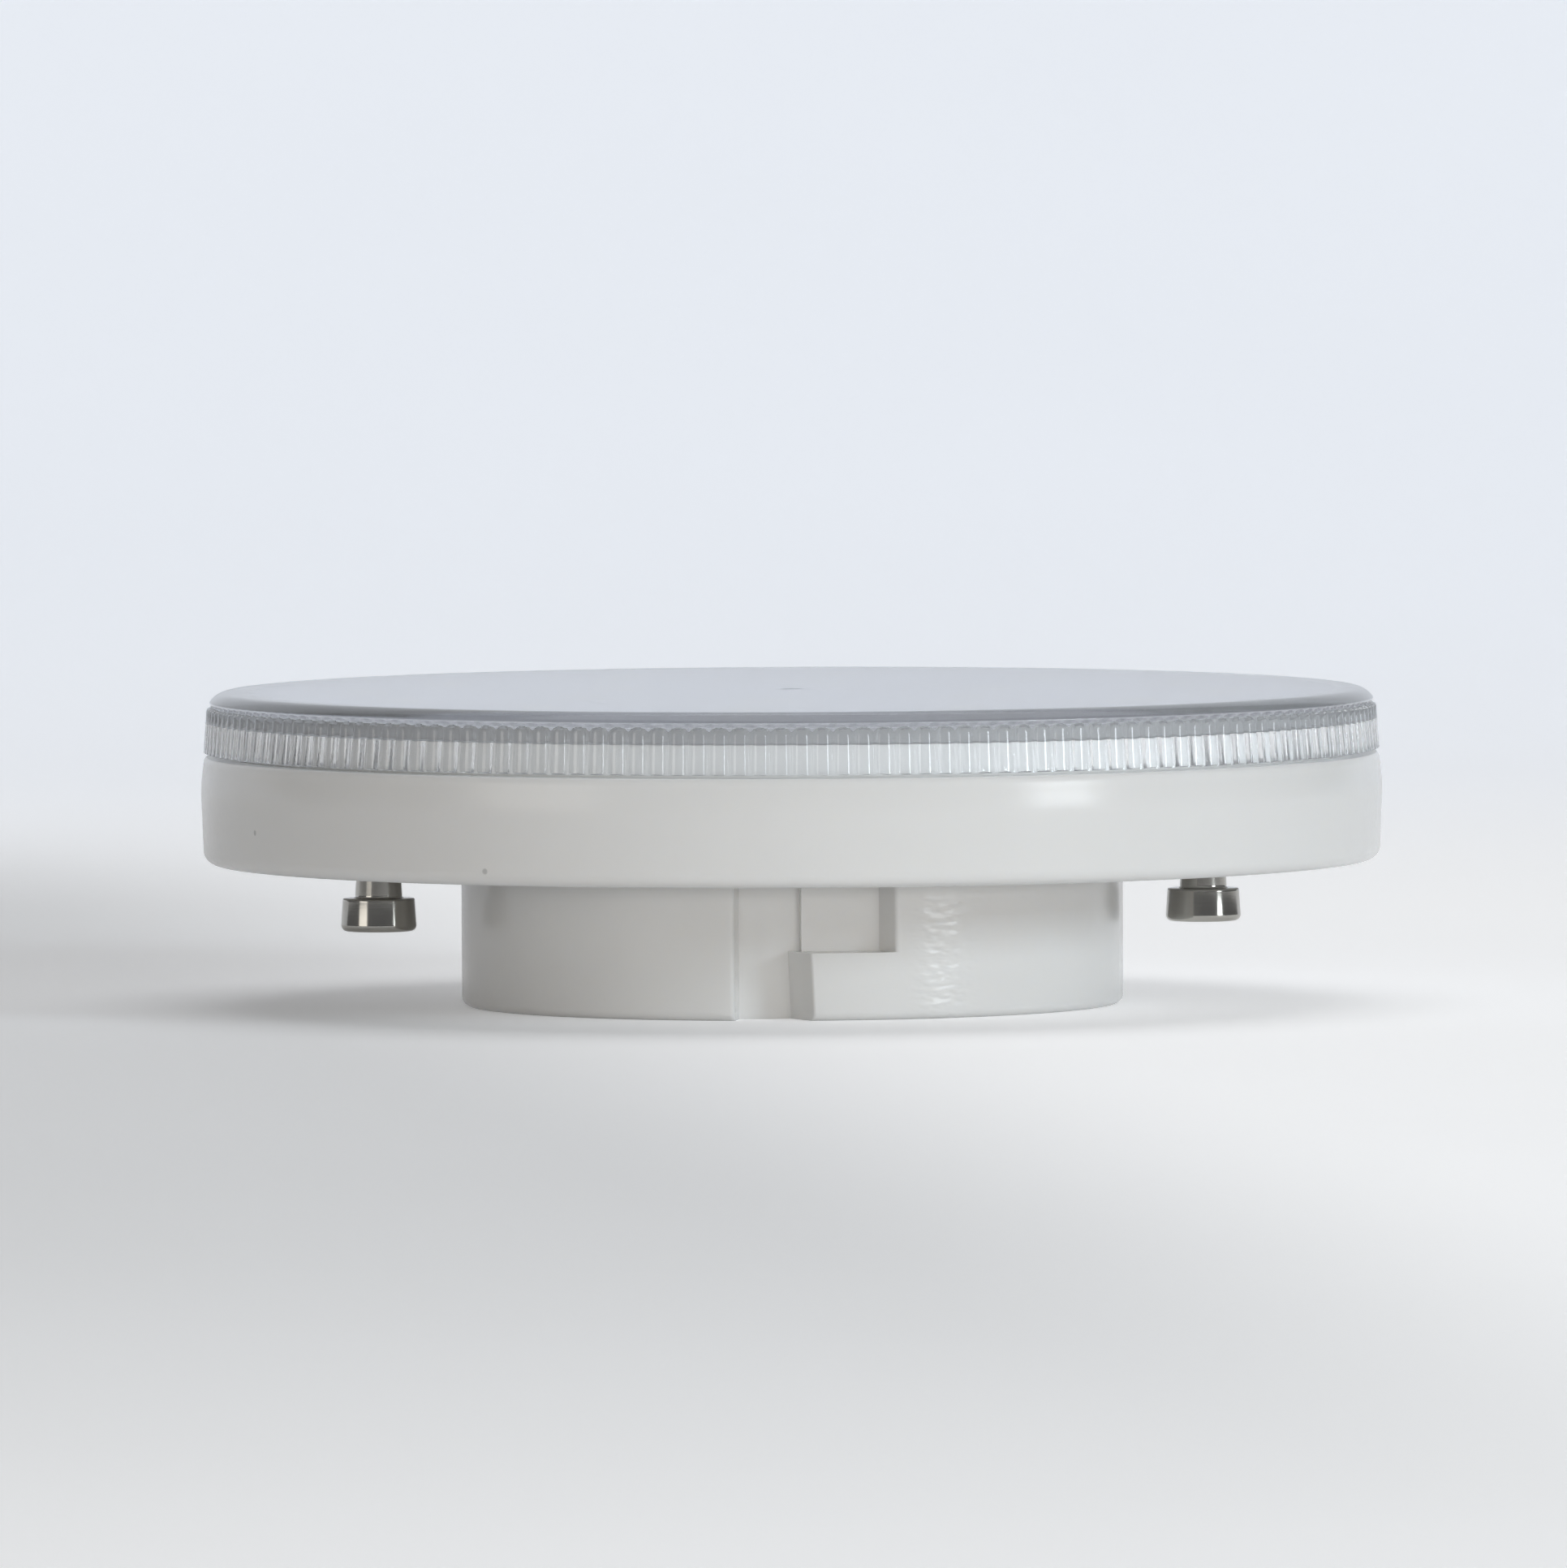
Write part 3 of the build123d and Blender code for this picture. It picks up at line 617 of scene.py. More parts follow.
def light_finish(settings):
    """White package of a light with its yellow middle."""
    package, first_light = (0.86, 0.86, 0.83, 1.0), radians(15.0)
    finish, tree, shader, made = plastic_finish("led_package", package, 0.4)
    middles = []
    for circle, count in ((settings.led_outer_circle, 12.0), (settings.led_inner_circle, 6.0)):
        place = place_group(tree, round_place(), Circle=circle, Count=count, Start=first_light)
        across = ease(tree, maths(tree, "ABSOLUTE", place["Outwards"]), 1.12 * MM, 1.0 * MM)
        along = ease(tree, maths(tree, "ABSOLUTE", place["Along"]), 1.45 * MM, 1.3 * MM)
        middles.append(maths(tree, "MULTIPLY", across, along))
    on_top = ease(tree, split(tree, box_place(tree))[2], low=0.9, high=0.98)
    middle = maths(tree, "MULTIPLY", maths(tree, "MAXIMUM", *middles), on_top)
    feed(tree, shader.inputs["Base Color"], blend(tree, middle, made["Color"], settings.phosphor))
    feed(tree, shader.inputs["Roughness"], ease(tree, middle, 0.0, 1.0, start=0.42, end=0.3))
    return finish


def lead_finish(name, tint, roughness, axis, body_share):
    """Package whose tinned leads or end caps stand out past the body on one axis."""
    finish, tree, shader, made = plastic_finish(name, tint, roughness, clouds=0.15)
    place = split(tree, box_place(tree))[axis]
    off_middle = maths(tree, "ABSOLUTE", maths(tree, "SUBTRACT", place, 0.5))
    lead = maths(tree, "GREATER_THAN", off_middle, body_share / 2)
    tin = (0.72, 0.71, 0.69, 1.0)
    feed(tree, shader.inputs["Base Color"], blend(tree, lead, made["Color"], tin))
    feed(tree, shader.inputs["Metallic"], lead)
    return finish


def winding_finish(settings):
    """Enamelled copper wire, turn by turn, with painted shade in the grooves between the turns."""
    finish, tree, shader, made = metal_finish("copper_winding", settings.copper, 0.28)
    turns = tree.nodes.new("ShaderNodeTexWave")
    turns.bands_direction = "Y"
    feed(tree, turns.inputs["Vector"], object_place(tree))
    feed(tree, turns.inputs["Scale"], 900.0)
    feed(tree, turns.inputs["Distortion"], 0.4)
    raise_bump(tree, shader, turns.outputs["Fac"], strength=0.7, depth=0.12 * MM)
    # Painted shade: the copper is darkened in the grooves between the turns.
    dark = ease(tree, turns.outputs["Fac"], low=0.0, high=0.5, start=0.45, end=1.0)
    feed(tree, shader.inputs["Base Color"], darken(tree, made["Color"], dark))
    return finish


# Meshes

class Shell:
    """Points and faces of a piece in the making."""

    def __init__(self):
        self.points = []
        self.faces = []
        self.finishes = []

    def ring(self, points):
        """Adds points and gives their numbers."""
        first = len(self.points)
        self.points.extend(points)
        return list(range(first, len(self.points)))

    def circle(self, radius, level, angles):
        """Adds a ring of points at the given angles."""
        return self.ring([(radius * cos(a), radius * sin(a), level) for a in angles])

    def face(self, numbers, finish=0):
        """Adds one face."""
        self.faces.append(numbers)
        self.finishes.append(finish)

    def band(self, lower, upper, finish=0):
        """Joins two rings of as many points."""
        count = len(lower)
        for index in range(count):
            after = (index + 1) % count
            self.face([lower[index], lower[after], upper[after], upper[index]], finish)

    def thin_band(self, many, few, finish=0):
        """Joins a ring to one of fewer points, a whole number of times fewer."""
        step = len(many) // len(few)
        for index in range(len(few)):
            after = (index + 1) % len(few)
            run = [many[(index * step + k) % len(many)] for k in range(step + 1)]
            self.face(run + [few[after], few[index]], finish)

    def cap(self, ring, point, finish=0):
        """Closes a ring with a fan to one point."""
        middle = self.ring([point])[0]
        for index in range(len(ring)):
            self.face([ring[index], ring[(index + 1) % len(ring)], middle], finish)

    def piece(self, name, finishes, sharp=SHARP):
        """Makes the object: welded, facing outwards and smooth but for its sharp edges."""
        mesh = bpy.data.meshes.new(name)
        mesh.from_pydata(self.points, [], self.faces)
        mesh.polygons.foreach_set("material_index", self.finishes)
        made = bmesh.new()
        made.from_mesh(mesh)
        bmesh.ops.remove_doubles(made, verts=made.verts, dist=0.002 * MM)
        bmesh.ops.dissolve_degenerate(made, edges=made.edges, dist=0.0005 * MM)
        bmesh.ops.recalc_face_normals(made, faces=made.faces)
        made.to_mesh(mesh)
        made.free()
        for finish in finishes:
            mesh.materials.append(finish)
        smooth(mesh, sharp)
        piece = bpy.data.objects.new(name, mesh)
        bpy.context.scene.collection.objects.link(piece)
        return piece


def smooth(mesh, sharp):
    """Shades a mesh smoothly, but for edges sharper than an angle."""
    mesh.polygons.foreach_set("use_smooth", [True] * len(mesh.polygons))
    mesh.set_sharp_from_angle(angle=radians(sharp))


def even_shading(piece):
    """Lets the large faces set the shading at rounded edges."""
    modifier = piece.modifiers.new("even_shading", "WEIGHTED_NORMAL")
    modifier.keep_sharp = True
    modifier.weight = 80


def carve(piece, tools, operation):
    """Cuts tools out of a piece or joins them to it, and removes the tools."""
    for tool in tools:
        modifier = piece.modifiers.new("carve", "BOOLEAN")
        modifier.operation = operation
        modifier.solver = "EXACT"
        modifier.object = tool
    graph = bpy.context.evaluated_depsgraph_get()
    carved = bpy.data.meshes.new_from_object(piece.evaluated_get(graph))
    if len(carved.polygons) < len(piece.data.polygons) // 2:
        raise RuntimeError(f"carving {piece.name} lost most of its faces")
    piece.modifiers.clear()
    piece.data = carved
    carved.name = piece.name
    for tool in tools:
        bpy.data.objects.remove(tool)


def mount(piece, slot, *nodes):
    """Puts a piece on the lamp's only body in the place of its CAD nodes."""
    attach(piece, "root")
    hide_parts(*nodes)


def full_turn(count, start=0.0):
    """Evenly spread angles."""
    return [start + 2 * pi * index / count for index in range(count)]


def arc(centre_r, centre_z, radius, start, end, count):
    """Points of a rounding in a profile, from one angle to another, in degrees."""
    angles = [radians(start + (end - start) * index / count) for index in range(count + 1)]
    return [(centre_r + radius * cos(a), centre_z + radius * sin(a)) for a in angles]


# Cover

CLEAR, FROSTED, SATIN, SHOULDER, MILKY = range(5)
FOOT_SHARE = 0.5
FOOT_GAP = 0.05 * MM
ARCH_GAP = 0.02 * MM
ARCH_ANGLES = (12, 24, 36, 48, 58, 67, 75, 82, 90)
RUN_OUT_PARTS = (0.6, 1.2, 1.8, 2.4, 3.0)
RUN_OUT = RUN_OUT_PARTS[-1]
SHOULDER_STEPS = 12
TOP_INSET = 0.3 * MM
FACE_SHARES = (0.6, 0.25)
GATE_RING = 1.5
GATE_SHARES = (0.7, 0.35)
GATE_CURVE = 0.6
COVER_SHARP = 40.0
RIB_COLUMNS = (-0.44, -0.405, -0.37, -0.335, -0.25, -0.12, 0.0, 0.12, 0.25, 0.335, 0.37, 0.405, 0.44, 0.5)


def step_up(value, low, high):
    """Smooth step from 0 to 1."""
    rise = min(max((value - low) / (high - low), 0.0), 1.0)
    return rise * rise * (3 - 2 * rise)


def rib_dip(across, level, half_width, settings):
    """Depth below the faces of the ribs, which bulge a little, end in round tops and meet the shoulder."""
    beyond = max(0.0, level - (settings.rib_top - half_width))
    outside = hypot(across, beyond) - half_width
    rise = (level - settings.rib_bottom) / (settings.rib_top - settings.rib_bottom)
    depth = settings.rib_depth * (FOOT_SHARE + (1 - FOOT_SHARE) * min(rise, 1.0))
    dip = depth * step_up(outside, -settings.rib_edge, settings.rib_edge)
    dip += settings.rib_crown * min(1.0, abs(across) / half_width) ** 2
    return dip * (1 - step_up(level, settings.rib_top, settings.rib_top + RUN_OUT * settings.rib_edge))


def skirt_rows(settings, half_width):
    """Levels of the rows of the skirt, closer together round the tops of the ribs."""
    bottom, top = settings.rib_bottom, settings.rib_top
    arch = top - half_width
    rows = [bottom, (bottom + arch) / 2, arch - ARCH_GAP]
    rows += [arch + half_width * sin(radians(angle)) for angle in ARCH_ANGLES]
    rows += [top + settings.rib_edge * part for part in RUN_OUT_PARTS]
    return rows


def build_cover(settings):
    """Clear cover: a ribbed skirt and shoulder round a frosted plate."""
    s = settings
    lean = tan(s.draft)
    pitch = 2 * pi / s.rib_count
    arc_pitch = pitch * s.skirt_radius
    half_width = arc_pitch * s.rib_share / 2
    columns = [(index + part) * pitch for index in range(s.rib_count) for part in RIB_COLUMNS]
    parts = list(RIB_COLUMNS) * s.rib_count
    few = full_turn(2 * s.rib_count, RIB_COLUMNS[0] * pitch)
    centre_z = s.top - s.shoulder
    shell = Shell()

    def wall(level):
        rise = max(0.0, level - centre_z)
        rounding = s.shoulder - sqrt(max(0.0, s.shoulder ** 2 - rise ** 2))
        return s.skirt_radius - (level - s.skirt_bottom) * lean - rounding

    foot = FOOT_SHARE * s.rib_depth + s.rib_crown + FOOT_GAP
    outer_edge = shell.circle(s.skirt_radius - foot, s.skirt_bottom, columns)
    rows = [outer_edge]
    for level in skirt_rows(s, half_width):
        radius = wall(level)
        points = []
        for part, angle in zip(parts, columns):
            reach = radius - rib_dip(part * arc_pitch, level, half_width, s)
            points.append((reach * cos(angle), reach * sin(angle), level))
        rows.append(shell.ring(points))
    ribbed = len(rows) - 1
    start = asin((s.rib_top + RUN_OUT * s.rib_edge - centre_z) / s.shoulder)
    for index in range(1, SHOULDER_STEPS + 1):
        level = centre_z + s.shoulder * sin(start + (pi / 2 - start) * index / SHOULDER_STEPS)
        rows.append(shell.circle(wall(level), level, columns))
    for index, (lower, upper) in enumerate(zip(rows, rows[1:])):
        shell.band(lower, upper, CLEAR if index < ribbed else SHOULDER)

    before = shell.circle(wall(s.top) - TOP_INSET, s.top, few)
    shell.thin_band(rows[-1], before, SATIN)
    face_rings = [(s.frosted_radius * part, s.top) for part in FACE_SHARES]
    face_rings += [(s.gate_radius * GATE_RING, s.top), (s.gate_radius, s.top)]
    for part in GATE_SHARES:
        face_rings.append((s.gate_radius * part, s.top - s.gate_depth * (1 - part) ** GATE_CURVE))
    for radius, level in face_rings:
        now = shell.circle(radius, level, few)
        shell.band(before, now, SATIN)
        before = now
    shell.cap(before, (0.0, 0.0, s.top - s.gate_depth), SATIN)

    underside = s.top - s.plate
    under_edge = shell.circle(s.frosted_radius, underside, few)
    shell.cap(under_edge, (0.0, 0.0, underside), FROSTED)
    seat_in = shell.circle(s.frosted_radius, s.seat, few)
    seat_out = shell.circle(s.bore, s.seat, few)
    bore_foot = shell.circle(s.bore, s.skirt_bottom, few)
    shell.band(under_edge, seat_in, MILKY)
    shell.band(seat_in, seat_out, MILKY)
    shell.band(seat_out, bore_foot, CLEAR)
    shell.thin_band(outer_edge, bore_foot, CLEAR)
    ribs = clear_finish("clear_cover", s.clear, roughness=0.05, marks=0.02, milk=0.07)
    satin = clear_finish("satin_cover", s.satin, roughness=0.17, marks=0.01)
    # The shoulder is the clear plastic with a painted shade, a dark tint.
    rounding = clear_finish("shoulder_cover", s.shoulder_painted_shade, roughness=0.15, marks=0.01)
    finishes = [
        let_lamps_through(ribs, s.clear),
        let_lamps_through(frosted_finish(s), s.passed),
        let_lamps_through(satin, s.satin),
        let_lamps_through(rounding, s.shoulder_painted_shade),
        clear_finish("milky_wall", s.milky, roughness=0.5, marks=0.01, milk=0.75),
    ]
    piece = shell.piece("ribbed_cover", finishes, COVER_SHARP)
    mount(piece, "clear_cover", "diffuser_cover")


# Housing

MOUTH_STEPS = 4
LEDGE_STEPS = 8
LEFT_STEPS = 48
RIGHT_STEPS = 56
KEY_STEPS = 14
EDGE_STEPS = 6
FOOT_STEPS = 8
BOW_STEPS = 5
RIM_STEPS = 8
RIM_TURN = 0.98
ENTRY_ROUND = 0.5
BOSS_GAP = 0.05 * MM
FOOT_INSET = 0.1 * MM
BOW_INSET = 0.02 * MM
PAST = 1 * MM
SUNK = 0.5 * MM
CAVITY_POINTS = 192
BORE_POINTS = 128
HOLE_POINTS = 48
GUSSET_COUNT = 6
GUSSET_START = radians(15.0)
GUSSET_INSET = 2.0 * MM
GUSSET_SIZE = (5.6 * MM, 1.2 * MM)
REST_SIZE = (3.0 * MM, 1.6 * MM)


def rounded_mouth(radius, floor_point, slope, rounding):
    """Where a keyway wall meets the boss: points from the wall to the round face, and their last angle."""
    x, y = floor_point
    length_out = hypot(slope, 1.0)
    step_x, step_y = slope / length_out, -1.0 / length_out
    half = x * step_x + y * step_y
    reach = -half + sqrt(half * half - (x * x + y * y - radius * radius))
    mouth = Vector((x + step_x * reach, y + step_y * reach))
    on_wall = Vector((x + step_x * (reach - rounding), y + step_y * (reach - rounding)))
    side = 1.0 if slope > 0 else -1.0
    angle = atan2(mouth.x, -mouth.y)
    last = angle + side * rounding / radius
    on_face = Vector((radius * sin(last), -radius * cos(last)))
    points = []
    for index in range(MOUTH_STEPS + 1):
        part = index / MOUTH_STEPS
        points.append(on_wall * (1 - part) ** 2 + mouth * 2 * part * (1 - part) + on_face * part ** 2)
    return points, last


def face_points(radius, start, end, count):
    """Points on the round face between two angles, measured from the front, without its ends."""
    angles = [start + (end - start) * index / count for index in range(1, count)]
    return [Vector((radius * sin(a), -radius * cos(a))) for a in angles]


def boss_half(s, radius, lead, upper):
    """Half of the outline of the boss: before, in and after its keyway, and the angles of the keyway's ends."""
    slope = tan(s.key_flank)
    left_floor = Vector((-s.key_left, -s.key_entry_floor))
    left, left_angle = rounded_mouth(radius, left_floor, -slope, s.key_round)
    turn_floor = Vector((s.key_turn_right, -s.key_turn_floor))
    turn_mouth, turn_angle = rounded_mouth(radius, turn_floor, slope, s.key_round)
    keyway = left[::-1] + [left_floor]
    if upper:
        keyway.append(Vector((-s.key_entry_right, -s.key_entry_floor)))
        keyway.append(Vector((-s.key_shelf_right, -s.key_entry_floor)))
        keyway.append(Vector((-s.key_shelf_right, -s.key_turn_floor)))
        keyway.append(turn_floor)
        keyway += turn_mouth
    else:
        entry_floor = Vector((-s.key_entry_right + lead, -s.key_entry_floor))
        entry_mouth, entry_angle = rounded_mouth(radius, entry_floor, slope, s.key_round * ENTRY_ROUND)
        keyway.append(entry_floor)
        keyway += entry_mouth
        keyway += face_points(radius, entry_angle, turn_angle, LEDGE_STEPS)
        keyway.append(turn_mouth[-1])
    before = [Vector((-radius, 0.0))] + face_points(radius, -pi / 2, left_angle, LEFT_STEPS)
    after = face_points(radius, turn_angle, pi / 2, RIGHT_STEPS)
    return before, keyway, after, (left_angle, turn_angle)


def boss_outline(s, radius, lead, upper):
    """Whole outline of the boss with both keyways."""
    before, keyway, after, _ = boss_half(s, radius, lead, upper)
    half = before + keyway + after
    return half + [-point for point in half]


def plain_outline(s, radius):
    """Round outline whose points match those of the boss between the keyways."""
    before, _, after, (left_angle, turn_angle) = boss_half(s, s.boss_radius, 0.0, True)
    angles = [left_angle + (turn_angle - left_angle) * index / KEY_STEPS for index in range(KEY_STEPS + 1)]
    across = [Vector((sin(a), -cos(a))) for a in angles]
    half = [point / s.boss_radius for point in before] + across + [point / s.boss_radius for point in after]
    return [point * radius for point in half + [-point for point in half]]


def at_level(points, level):
    """Points of an outline at a height."""
    return [(point.x, point.y, level) for point in points]


def housing_outside(s):
    """Outside of the housing: boss with its keyways, and the drafted body above."""
    shell = Shell()
    rows = []
    for radius, level in arc(s.boss_radius - s.boss_edge, s.boss_edge, s.boss_edge, -90.0, 0.0, EDGE_STEPS):
        lead = s.key_lead * (1 - level / s.key_ledge)
        rows.append(shell.ring(at_level(boss_outline(s, radius, lead, False), level)))
    shell.face(rows[0][::-1])
    rows.append(shell.ring(at_level(boss_outline(s, s.boss_radius, 0.0, False), s.key_ledge)))
    for lower, upper in zip(rows, rows[1:]):
        shell.band(lower, upper)
    turn_foot = shell.ring(at_level(boss_outline(s, s.boss_radius, 0.0, True), s.key_ledge))
    turn_head = shell.ring(at_level(boss_outline(s, s.boss_radius, 0.0, True), s.boss_height))
    shell.band(turn_foot, turn_head)

    before, low_key, _, _ = boss_half(s, s.boss_radius, 0.0, False)
    _, high_key, _, _ = boss_half(s, s.boss_radius, 0.0, True)
    low_half, high_half = len(rows[-1]) // 2, len(turn_foot) // 2
    plain = shell.ring(at_level(plain_outline(s, s.boss_radius), s.boss_height))
    plain_half = len(plain) // 2
    first = len(before)
    past_left = MOUTH_STEPS + 2
    for index in range(2):
        low = rows[-1][index * low_half + first:][:len(low_key)]
        high = turn_foot[index * high_half + first:][:len(high_key)]
        shell.face(low[past_left:-1] + high[:past_left:-1])
        ceiling = turn_head[index * high_half + first:][:len(high_key)]
        front = plain[index * plain_half + first:][:KEY_STEPS + 1]
        shell.face(ceiling + front[1:-1][::-1])

    foot_radius = s.body_radius - (s.body_top - s.rim_height - s.boss_height) * tan(s.body_draft)
    lean = s.body_draft * 180 / pi
    centre_r = foot_radius + s.body_edge * tan(s.body_draft) - s.body_edge / cos(s.body_draft)
    profile = [(s.boss_radius + BOSS_GAP, s.boss_height), (centre_r - FOOT_INSET, s.boss_height)]
    profile += arc(centre_r, s.boss_height + s.body_edge, s.body_edge, -90.0, -lean, FOOT_STEPS)
    bow_foot = s.body_top - s.rim_height - s.bow_height
    bow_radius = s.body_radius - BOW_INSET
    for index in range(BOW_STEPS + 1):
        part = index / BOW_STEPS
        profile.append((bow_radius - s.bow_width * part ** 2, bow_foot + s.bow_height * part))
    for index in range(1, RIM_STEPS + 1):
        part = index / RIM_STEPS
        bow = 1 - sqrt(1 - (RIM_TURN * part) ** 2)
        profile.append((bow_radius - s.bow_width - s.rim_width * bow, s.body_top - s.rim_height * (1 - part)))
    before_ring = plain
    for radius, level in profile:
        ring = shell.ring(at_level(plain_outline(s, radius), level))
        shell.band(before_ring, ring)
        before_ring = ring
    shell.cap(before_ring, (0.0, 0.0, s.body_top))
    return shell


def prism(name, outline, bottom, top):
    """Closed prism on an outline."""
    shell = Shell()
    lower = shell.ring([(x, y, bottom) for x, y in outline])
    upper = shell.ring([(x, y, top) for x, y in outline])
    shell.band(lower, upper)
    shell.face(lower[::-1])
    shell.face(upper)
    return shell.piece(name, [])


def disc_outline(radius, count, x=0.0, y=0.0):
    """Points round a circle."""
    return [(x + radius * cos(a), y + radius * sin(a)) for a in full_turn(count)]


def block_outline(x, y, long_side, short_side, angle):
    """Corners of a turned rectangle."""
    corners = []
    for across, along in CORNERS:
        u, v = across * long_side / 2, along * short_side / 2
        corners.append((x + u * cos(angle) - v * sin(angle), y + u * sin(angle) + v * cos(angle)))
    return corners


def build_housing(settings):
    """White housing: hollow body, boss with two keyways, holes for the pins, and gussets and rests inside."""
    s = settings
    piece = housing_outside(s).piece("white_housing", [housing_finish(s)])
    floor = s.boss_height + s.body_wall
    cavity = s.body_radius - s.body_wall
    backing = s.key_entry_floor - s.boss_wall
    bore = []
    for x, y in disc_outline(s.boss_radius - s.boss_wall, BORE_POINTS):
        bore.append((x, min(max(y, -backing), backing)))
    tools = [
        prism("cavity", disc_outline(cavity, CAVITY_POINTS), floor, s.body_top + PAST),
        prism("bore", bore, s.boss_wall, floor + PAST),
    ]
    for side in (-1, 1):
        hole = disc_outline(s.pin_hole, HOLE_POINTS, side * s.pin_pitch / 2)
        tools.append(prism("pin_hole", hole, s.boss_height - PAST, floor + PAST))
    carve(piece, tools, "DIFFERENCE")
    blocks = []
    reach = cavity - GUSSET_INSET
    for angle in full_turn(GUSSET_COUNT, GUSSET_START):
        outline = block_outline(reach * cos(angle), reach * sin(angle), *GUSSET_SIZE, angle)
        blocks.append(prism("gusset", outline, floor - SUNK, floor + s.gusset_height))
    for x, y in CORNERS:
        outline = block_outline(x * s.rest_x, y * s.rest_y, *REST_SIZE, 0.0)
        blocks.append(prism("rest", outline, s.boss_wall - SUNK, s.rest_top))
    carve(piece, blocks, "UNION")
    smooth(piece.data, SHARP)
    even_shading(piece)
    mount(piece, "white_housing", "housing")


# Pins

PIN_POINTS = 96
PIN_FILLET = 0.12 * MM
PIN_CREASE = 0.05 * MM
NECK_START = 0.2 * MM
NECK_LENGTH = 2.2 * MM
FACE_SHARE = 0.5


def build_pin(settings, side, name, node, finish):
    """Turned contact pin: thick rounded head, neck and tail."""
    s = settings
    shell = Shell()
    middle = side * s.pitch / 2
    angles = full_turn(PIN_POINTS)
    lean = tan(s.taper)
    side_foot = s.head_bottom + s.end_round
    step_radius = s.head_radius - (s.head_top - side_foot) * lean
    step_foot = s.head_top - s.step_round
    tail_radius = s.neck_radius - NECK_LENGTH * lean
    profile = [(s.head_radius * FACE_SHARE, s.head_bottom)]
    profile += arc(s.head_radius - s.end_round, side_foot, s.end_round, -90.0, 0.0, count=8)
    profile += [(s.head_radius - PIN_CREASE * lean, side_foot + PIN_CREASE)]
    profile += [(step_radius, step_foot - PIN_CREASE)]
    profile += arc(step_radius - s.step_round, step_foot, s.step_round, 0.0, 90.0, count=6)
    profile += arc(s.neck_radius + PIN_FILLET, s.head_top + PIN_FILLET, PIN_FILLET, -90.0, -180.0, count=5)
    profile += [(s.neck_radius, s.head_top + NECK_START)]
    profile += [(tail_radius, s.head_top + NECK_START + NECK_LENGTH), (tail_radius, s.tail_top)]
    rings = []
    for radius, level in profile:
        rings.append(shell.ring([(middle + radius * cos(a), radius * sin(a), level) for a in angles]))
    for lower, upper in zip(rings, rings[1:]):
        shell.band(lower, upper)
    shell.cap(rings[0], (middle, 0.0, s.head_bottom))
    shell.cap(rings[-1], (middle, 0.0, s.tail_top))
    piece = shell.piece(name, [finish])
    even_shading(piece)
    mount(piece, "nickel_pin", node)


# Stage

LAMP_TARGET = (0.0, 0.0, 0.012)
FLOOR_FRONT = -2.2
FLOOR_HALF = 2.5
BACKDROP_HALF = 0.7
BACKDROP_START = 0.32
BACKDROP_RADIUS = 0.5
BACKDROP_TOP = 1.6
BACKDROP_STEPS = 24
SWEEP_SHARP = 60.0
WHITE_LEVEL = 0.95


def aim(lamp, target):
    """Turns a lamp to a point."""
    lamp.rotation_mode = "QUATERNION"
    lamp.rotation_quaternion = (Vector(target) - lamp.location).to_track_quat("-Z", "Y")


def soft_lamp(name, place, size, watts, tint):
    """Area lamp turned to the middle of the part."""
    data = bpy.data.lights.new(name, "AREA")
    data.shape = "RECTANGLE"
    data.size, data.size_y = size
    data.energy = watts
    data.color = tint
    lamp = bpy.data.objects.new(name, data)
    bpy.context.scene.collection.objects.link(lamp)
    lamp.location = place
    aim(lamp, LAMP_TARGET)
    return lamp


def floor_finish(settings):
    """Pale paper with a painted shadow to the left of the lamp; it looks lit to the camera, in gloss and
    through glass.
    """
    finish, tree, shader = new_finish("stage_paper")
    place = object_place(tree)
    axes = split(tree, place)
    cloud_scale, cloud_share, painted_shadow_share = 14.0, 0.05, 0.62
    clouds = maths(tree, "MULTIPLY", noise(tree, place, cloud_scale, detail=2.0), cloud_share)
    # Painted shadow: the paper's glow is darkened to the left of the lamp, between the front of the floor and
    # the backdrop.
    left = ease(tree, axes[0], low=0.012, high=-0.040)
    before_wall = ease(tree, axes[1], low=0.30, high=0.12)
    past_front = ease(tree, axes[1], low=-0.62, high=-0.15)
    grey = maths(tree, "MULTIPLY", maths(tree, "MULTIPLY", left, before_wall), past_front)
    grey = maths(tree, "ADD", maths(tree, "MULTIPLY", grey, painted_shadow_share), clouds)
    standing = ease(tree, axes[1], low=0.1, high=0.5)
    paper = blend(tree, standing, settings.floor, settings.backdrop)
    feed(tree, shader.inputs["Base Color"], paper)
    feed(tree, shader.inputs["Emission Color"], blend(tree, grey, paper, BLACK))
    _, seen = seen_rays(tree)
    feed(tree, shader.inputs["Emission Strength"], maths(tree, "MULTIPLY", seen, settings.floor_glow))
    shader.inputs["Roughness"].default_value = 0.9
    shader.inputs["Specular IOR Level"].default_value = 0.1
    return finish


def build_sweep(settings):
    """Floor that curves up into a backdrop."""
    shell = Shell()
    profile = [(FLOOR_FRONT, 0.0), (BACKDROP_START, 0.0)]
    for index in range(1, BACKDROP_STEPS + 1):
        a = pi / 2 * index / BACKDROP_STEPS
        profile.append((BACKDROP_START + BACKDROP_RADIUS * sin(a), BACKDROP_RADIUS * (1 - cos(a))))
    profile.append((BACKDROP_START + BACKDROP_RADIUS, BACKDROP_TOP))
    before = None
    for y, z in profile:
        reach = BACKDROP_HALF if z > 0 else FLOOR_HALF
        now = shell.ring([(-reach, y, z), (reach, y, z)])
        if before:
            shell.face([before[0], before[1], now[1], now[0]])
        before = now
    sweep = shell.piece("paper_sweep", [floor_finish(settings)], SWEEP_SHARP)


